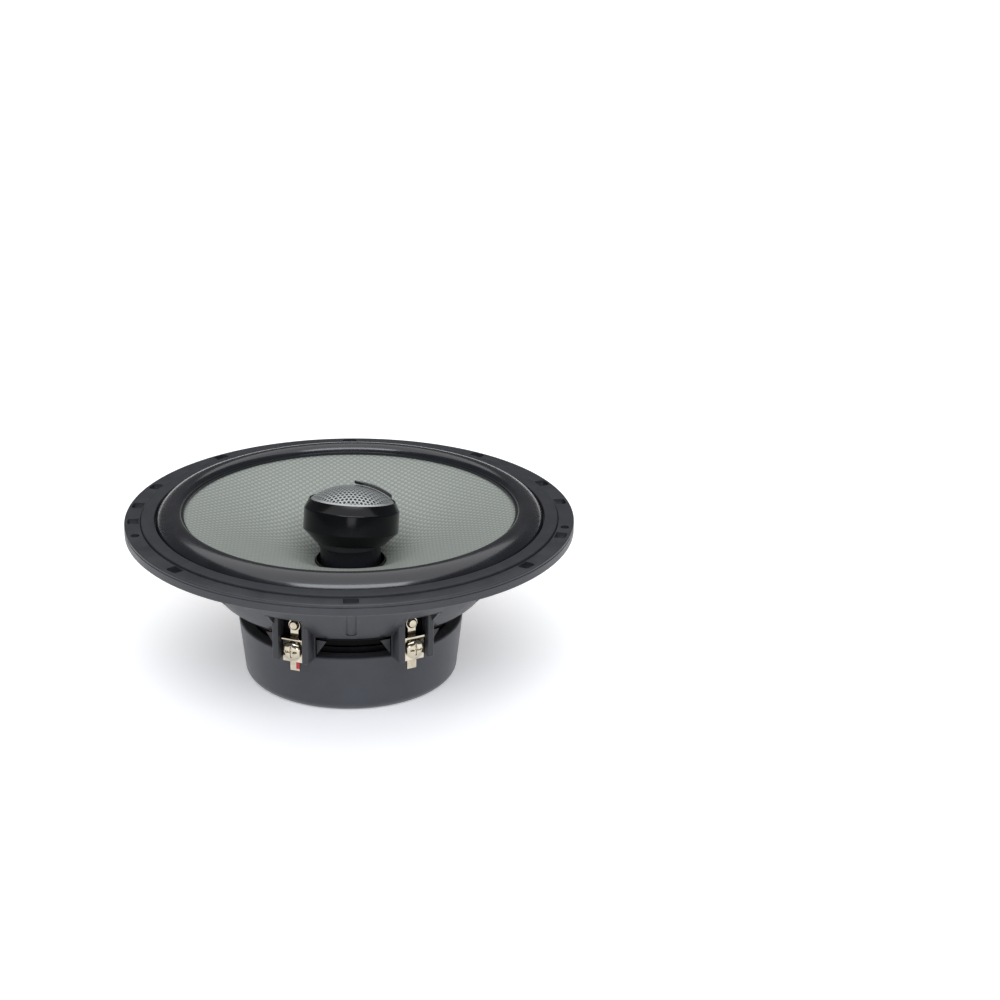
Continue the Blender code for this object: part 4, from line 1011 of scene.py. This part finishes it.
class SPEAKER_OT_post(bpy.types.Operator):
    """Hollow post with the swivel's ball, and the ball's liner"""

    bl_idname = "speaker.post"
    bl_label = "Tweeter post"

    def execute(self, context):
        pivot = PIVOT.z / MM
        ball = POST_RADIUS
        post = ball - 0.8
        pole_top = high("pole_yoke", 2) + 0.3
        round_top = math.degrees(math.asin(2.6 / ball))
        round_foot = -math.degrees(math.acos(post / ball))
        outline = [
            (2.2, 2.4),
            (3.9, 2.4),
            (3.9, pole_top),
            (post, pole_top),
            *arc((0, pivot), ball, round_foot, round_top, 14),
            (4.4, pivot + 2.6),
            (2.2, pivot - 2.2),
        ]
        satin = gloss_plastic("Satin black nylon", ("#16171b", "#1d1e22"), (0.3, 0.42))
        settle(finished("Tweeter post", spun(outline, 96), satin, 45), "tweeter_post")
        settle(refined("swivel_liner", "Swivel liner", acetal(), 0), "swivel_liner")
        return {"FINISHED"}


class SPEAKER_OT_pod(bpy.types.Operator):
    """Gloss black pod: chamfered shoulder, straight wall, tapered skirt"""

    bl_idname = "speaker.pod"
    bl_label = "Tweeter pod"

    def execute(self, context):
        socket = POST_RADIUS + 0.75
        lip = GRILLE_RADIUS + 0.3
        end = math.degrees(math.asin(-2.6 / socket))
        top = math.degrees(math.asin(2.5 / socket))
        skirt = socket * math.cos(math.radians(end)) + 0.5
        outline = [
            (lip, GRILLE_Z + 0.3),
            (lip + 0.3, GRILLE_Z + 0.3),
            *arc((POD_RADIUS - 1.0, 9.5), 1.0, 50, 0, 6),
            *arc((POD_RADIUS - 0.6, 2.3), 0.6, 0, -35, 3),
            (skirt + 0.2, -2.4),
            (skirt, -2.6),
            *arc((0, 0), socket, end, top, 10),
            (socket, 5.8),
            (3.5, 5.8),
            (3.5, 6.7),
            (14.65, 6.7),
            (14.65, 12.2),
            (lip, 12.2),
        ]
        body = finished("Tweeter housing", in_pod(spun(outline, 128)), gloss_plastic(), 28)
        settle(body, "tweeter_housing")
        return {"FINISHED"}


class SPEAKER_OT_grille(bpy.types.Operator):
    """Punched dome of staggered round holes inside a plain rim"""

    bl_idname = "speaker.grille"
    bl_label = "Tweeter grille"

    def execute(self, context):
        made = settings()
        spacing = made.hole_spacing
        material = painted_grille(made.grille_colour)
        bm = bmesh.new()
        rows = int(GRILLE_RADIUS / (spacing * math.sqrt(3) / 2)) + 1
        for row in range(-rows, rows + 1):
            y = row * spacing * math.sqrt(3) / 2
            for column in range(-rows, rows + 1):
                x = (column + (row % 2) / 2) * spacing
                if math.hypot(x, y) < GRILLE_RADIUS - 0.8:
                    self.punch(bm, x, y, spacing, made.hole_width / 2)
        bmesh.ops.remove_doubles(bm, verts=bm.verts, dist=0.02)
        for vert in bm.verts:
            vert.co.z = grille_height(min(math.hypot(vert.co.x, vert.co.y), GRILLE_RADIUS))
        bmesh.ops.recalc_face_normals(bm, faces=bm.faces)
        if sum(face.normal.z for face in bm.faces) < 0:
            bmesh.ops.reverse_faces(bm, faces=bm.faces)
        bmesh.ops.solidify(bm, geom=list(bm.faces), thickness=0.4)
        punched = finished("Tweeter grille", in_pod(bm), material, 45)
        settle(punched, "tweeter_grille")
        inner = GRILLE_RADIUS - 0.9
        rim = [(r, grille_height(r) + 0.06) for r in (inner, inner + 0.3, inner + 0.6)]
        rim += [(GRILLE_RADIUS, GRILLE_Z + 0.05), (GRILLE_RADIUS, GRILLE_Z - 0.5)]
        rim += [(inner, grille_height(inner) - 0.5)]
        settle(finished("Grille rim", in_pod(spun(rim, 128)), material), body="tweeter_pod")
        return {"FINISHED"}

    def punch(self, bm, x, y, spacing, radius):
        """One hexagonal cell with a round hole, left open."""
        corner = spacing / math.sqrt(3)
        cell = bmesh.ops.create_circle(bm, cap_ends=True, segments=12, radius=corner)
        bmesh.ops.rotate(
            bm, cent=(0, 0, 0), matrix=Matrix.Rotation(math.pi / 6, 3, "Z"), verts=cell["verts"]
        )
        for vert in cell["verts"]:
            angle = math.atan2(vert.co.y, vert.co.x) % (math.pi / 3)
            if abs(angle) < 0.1 or abs(angle - math.pi / 3) < 0.1:
                vert.co *= math.cos(math.pi / 6)
        face = cell["verts"][0].link_faces[0]
        bmesh.ops.inset_region(
            bm, faces=[face], thickness=0.1, use_even_offset=True, use_boundary=True
        )
        ring = {vert for inner in face.verts for side in inner.link_faces for vert in side.verts}
        for vert in face.verts:
            vert.co = vert.co.normalized() * radius
        bmesh.ops.delete(bm, geom=[face], context="FACES_ONLY")
        bmesh.ops.translate(bm, vec=(x, y, 0), verts=list(ring))


class SPEAKER_OT_badge(bpy.types.Operator):
    """Blank strip across the grille"""

    bl_idname = "speaker.badge"
    bl_label = "Badge strip"

    def execute(self, context):
        strip = gloss_plastic("Gloss black strip", ("#141518", "#1a1b1f"), (0.2, 0.3))
        settle(refined("badge_strip", "Badge strip", strip, 0.3), "badge_strip")
        return {"FINISHED"}


class SPEAKER_OT_driver(bpy.types.Operator):
    """Dome, coil, magnet and clamp ring under the grille"""

    bl_idname = "speaker.driver"
    bl_label = "Tweeter driver"

    def execute(self, context):
        silk = coated_silk()
        zinc = zinc_plate()
        for node, name, material, soften in (
            ("tweeter_dome", "Tweeter dome", silk, 0),
            ("tweeter_dome_surround", "Dome edge", silk, 0),
            ("tweeter_coil", "Tweeter coil", copper_wire(), 0),
            ("tweeter_yoke", "Tweeter cup", zinc, 0.1),
            ("tweeter_magnet", "Tweeter magnet", zinc, 0.1),
            ("tweeter_pole_disc", "Tweeter pole disc", zinc, 0.05),
            ("tweeter_face_ring", "Tweeter face ring", moulded_plastic(), 0.15),
        ):
            settle(refined(node, name, material, soften), node)
        return {"FINISHED"}


# ---- leads ------------------------------------------------------------------------------
class SPEAKER_OT_leads(bpy.types.Operator):
    """Tweeter leads, tinsel leads and the crossover capacitor"""

    bl_idname = "speaker.leads"
    bl_label = "Leads and capacitor"

    def execute(self, context):
        red = pvc_jacket("Red PVC insulation", ("#7d1514", "#93201c"))
        black = pvc_jacket("Black PVC insulation", ("#151517", "#1e1e21"))
        copper = copper_wire()
        for node, name, material in (
            ("tweeter_lead_positive", "Tweeter lead positive", red),
            ("tweeter_lead_negative", "Tweeter lead negative", black),
            ("pod_lead_positive", "Pod lead positive", copper),
            ("pod_lead_negative", "Pod lead negative", copper),
        ):
            settle(refined(node, name, material, 0), node)
        sleeve = pvc_jacket("Blue heat-shrunk sleeve", ("#1c2748", "#263459"))
        node = "crossover_capacitor"
        settle(refined(node, "Crossover capacitor", sleeve, 0.3), node)
        for side, angle in TERMINALS:
            node = f"tinsel_lead_{side}"
            obj = refined(node, f"Tinsel lead {side}", copper, 0)
            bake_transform(obj)
            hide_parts(node)
        return {"FINISHED"}


# ---- stage ------------------------------------------------------------------------------
SKY_GLOW = 0.14  # what the surroundings give the object
BACKDROP_GLOW = 1.1  # how bright the backdrop looks past the floor
AIM = (0.1498, 0.0144)  # the flange's centre, left of and below the middle of the frame
DISTANCE = 900 * MM
ELEVATION = math.radians(21.747)
ROLL = math.radians(0.549)
LENS = 87.741
SENSOR = 36.0


def camera_matrix():
    """Looks past the speaker so that its flange sits left of and below the middle."""
    back = Vector((0, -math.cos(ELEVATION), math.sin(ELEVATION)))
    right = Vector((1, 0, 0))
    aimed = Matrix((right, back.cross(right), back))
    reach = LENS / SENSOR
    ray = Vector((-AIM[0] / reach, -AIM[1] / reach, -1)).normalized()
    yaw = Matrix.Rotation(math.atan2(-ray.x, -ray.z), 3, "Y")
    pitch = Matrix.Rotation(math.asin(ray.y), 3, "X")
    swing = yaw @ pitch @ Matrix.Rotation(ROLL, 3, "Z") @ aimed
    matrix = swing.transposed().to_4x4()
    matrix.translation = back * DISTANCE + Vector((0, 0, FACE * MM))
    return matrix


def softbox(name, place_at, aim, size, power, colour=(1, 1, 1)):
    light = bpy.data.lights.new(name, "AREA")
    light.shape = "RECTANGLE"
    light.size, light.size_y = size
    light.energy = power
    light.color = colour
    obj = bpy.data.objects.new(name, light)
    bpy.context.scene.collection.objects.link(obj)
    obj.location = place_at
    obj.rotation_euler = (Vector(aim) - Vector(place_at)).to_track_quat("-Z", "Y").to_euler()
    return obj


class SPEAKER_OT_stage(bpy.types.Operator):
    """Pale floor, soft studio lights and the camera"""

    bl_idname = "speaker.stage"
    bl_label = "Stage"

    def execute(self, context):
        made = settings()
        bm = bmesh.new()
        bmesh.ops.create_grid(bm, x_segments=1, y_segments=1, size=6000)
        floor = finished("Floor", bm, studio_floor(made.floor_colour))
        centre = (0, 0, 0.05)
        lights = [
            softbox("Overhead ceiling", (0.0, 0.6, 3.2), (0, 0.6, 0), (6.0, 6.0), made.key_power),
            softbox("Front window", (0.0, -1.08, 1.09), centre, (1.6, 0.6), 18.0, (0.9, 0.94, 1.0)),
            softbox("Front card", (0.0, -1.4, 0.13), centre, (0.45, 0.3), 1.2),
        ]
        world = bpy.data.worlds.new("Studio")
        world.use_nodes = True
        sky = world.node_tree.nodes["Background"]
        sky.inputs["Color"].default_value = grey(0.9)
        seen = add(world.node_tree, "ShaderNodeLightPath").outputs["Is Camera Ray"]
        strength = add(
            world.node_tree,
            "ShaderNodeMapRange",
            {"To Min": SKY_GLOW, "To Max": BACKDROP_GLOW},
            {"Value": seen},
        )
        world.node_tree.links.new(strength.outputs["Result"], sky.inputs["Strength"])
        bpy.context.scene.world = world
        camera = bpy.data.objects.new("Camera", bpy.data.cameras.new("Camera"))
        camera.data.lens = LENS
        camera.data.sensor_width = SENSOR
        camera.data.clip_end = 50
        camera.matrix_world = camera_matrix()
        bpy.context.scene.collection.objects.link(camera)
        bpy.context.scene.camera = camera
        bpy.context.scene.view_settings.view_transform = "Standard"
        return {"FINISHED"}


# ---- panel and registration -------------------------------------------------------------
OPERATORS = (
    SPEAKER_OT_basket,
    SPEAKER_OT_gasket,
    SPEAKER_OT_cone,
    SPEAKER_OT_surround,
    SPEAKER_OT_spider,
    SPEAKER_OT_motor,
    SPEAKER_OT_boot,
    SPEAKER_OT_terminals,
    SPEAKER_OT_post,
    SPEAKER_OT_pod,
    SPEAKER_OT_grille,
    SPEAKER_OT_badge,
    SPEAKER_OT_driver,
    SPEAKER_OT_leads,
    SPEAKER_OT_stage,
)


class SPEAKER_PT_pieces(bpy.types.Panel):
    bl_idname = "SPEAKER_PT_pieces"
    bl_label = "Coaxial Car Speaker"
    bl_space_type = "VIEW_3D"
    bl_region_type = "UI"
    bl_category = "Speaker"

    def draw(self, context):
        for name in SpeakerSettings.__annotations__:
            self.layout.prop(context.scene.speaker_settings, name)
        for operator in OPERATORS:
            self.layout.operator(operator.bl_idname)


CLASSES = (SpeakerSettings, *OPERATORS, SPEAKER_PT_pieces)


def register():
    for cls in CLASSES:
        bpy.utils.register_class(cls)
    bpy.types.Scene.speaker_settings = bpy.props.PointerProperty(type=SpeakerSettings)


def unregister():
    del bpy.types.Scene.speaker_settings
    for cls in reversed(CLASSES):
        bpy.utils.unregister_class(cls)


def main():
    register()
    for operator in OPERATORS:
        group, name = operator.bl_idname.split(".")
        getattr(getattr(bpy.ops, group), name)()


if __name__ == "__main__":
    main()
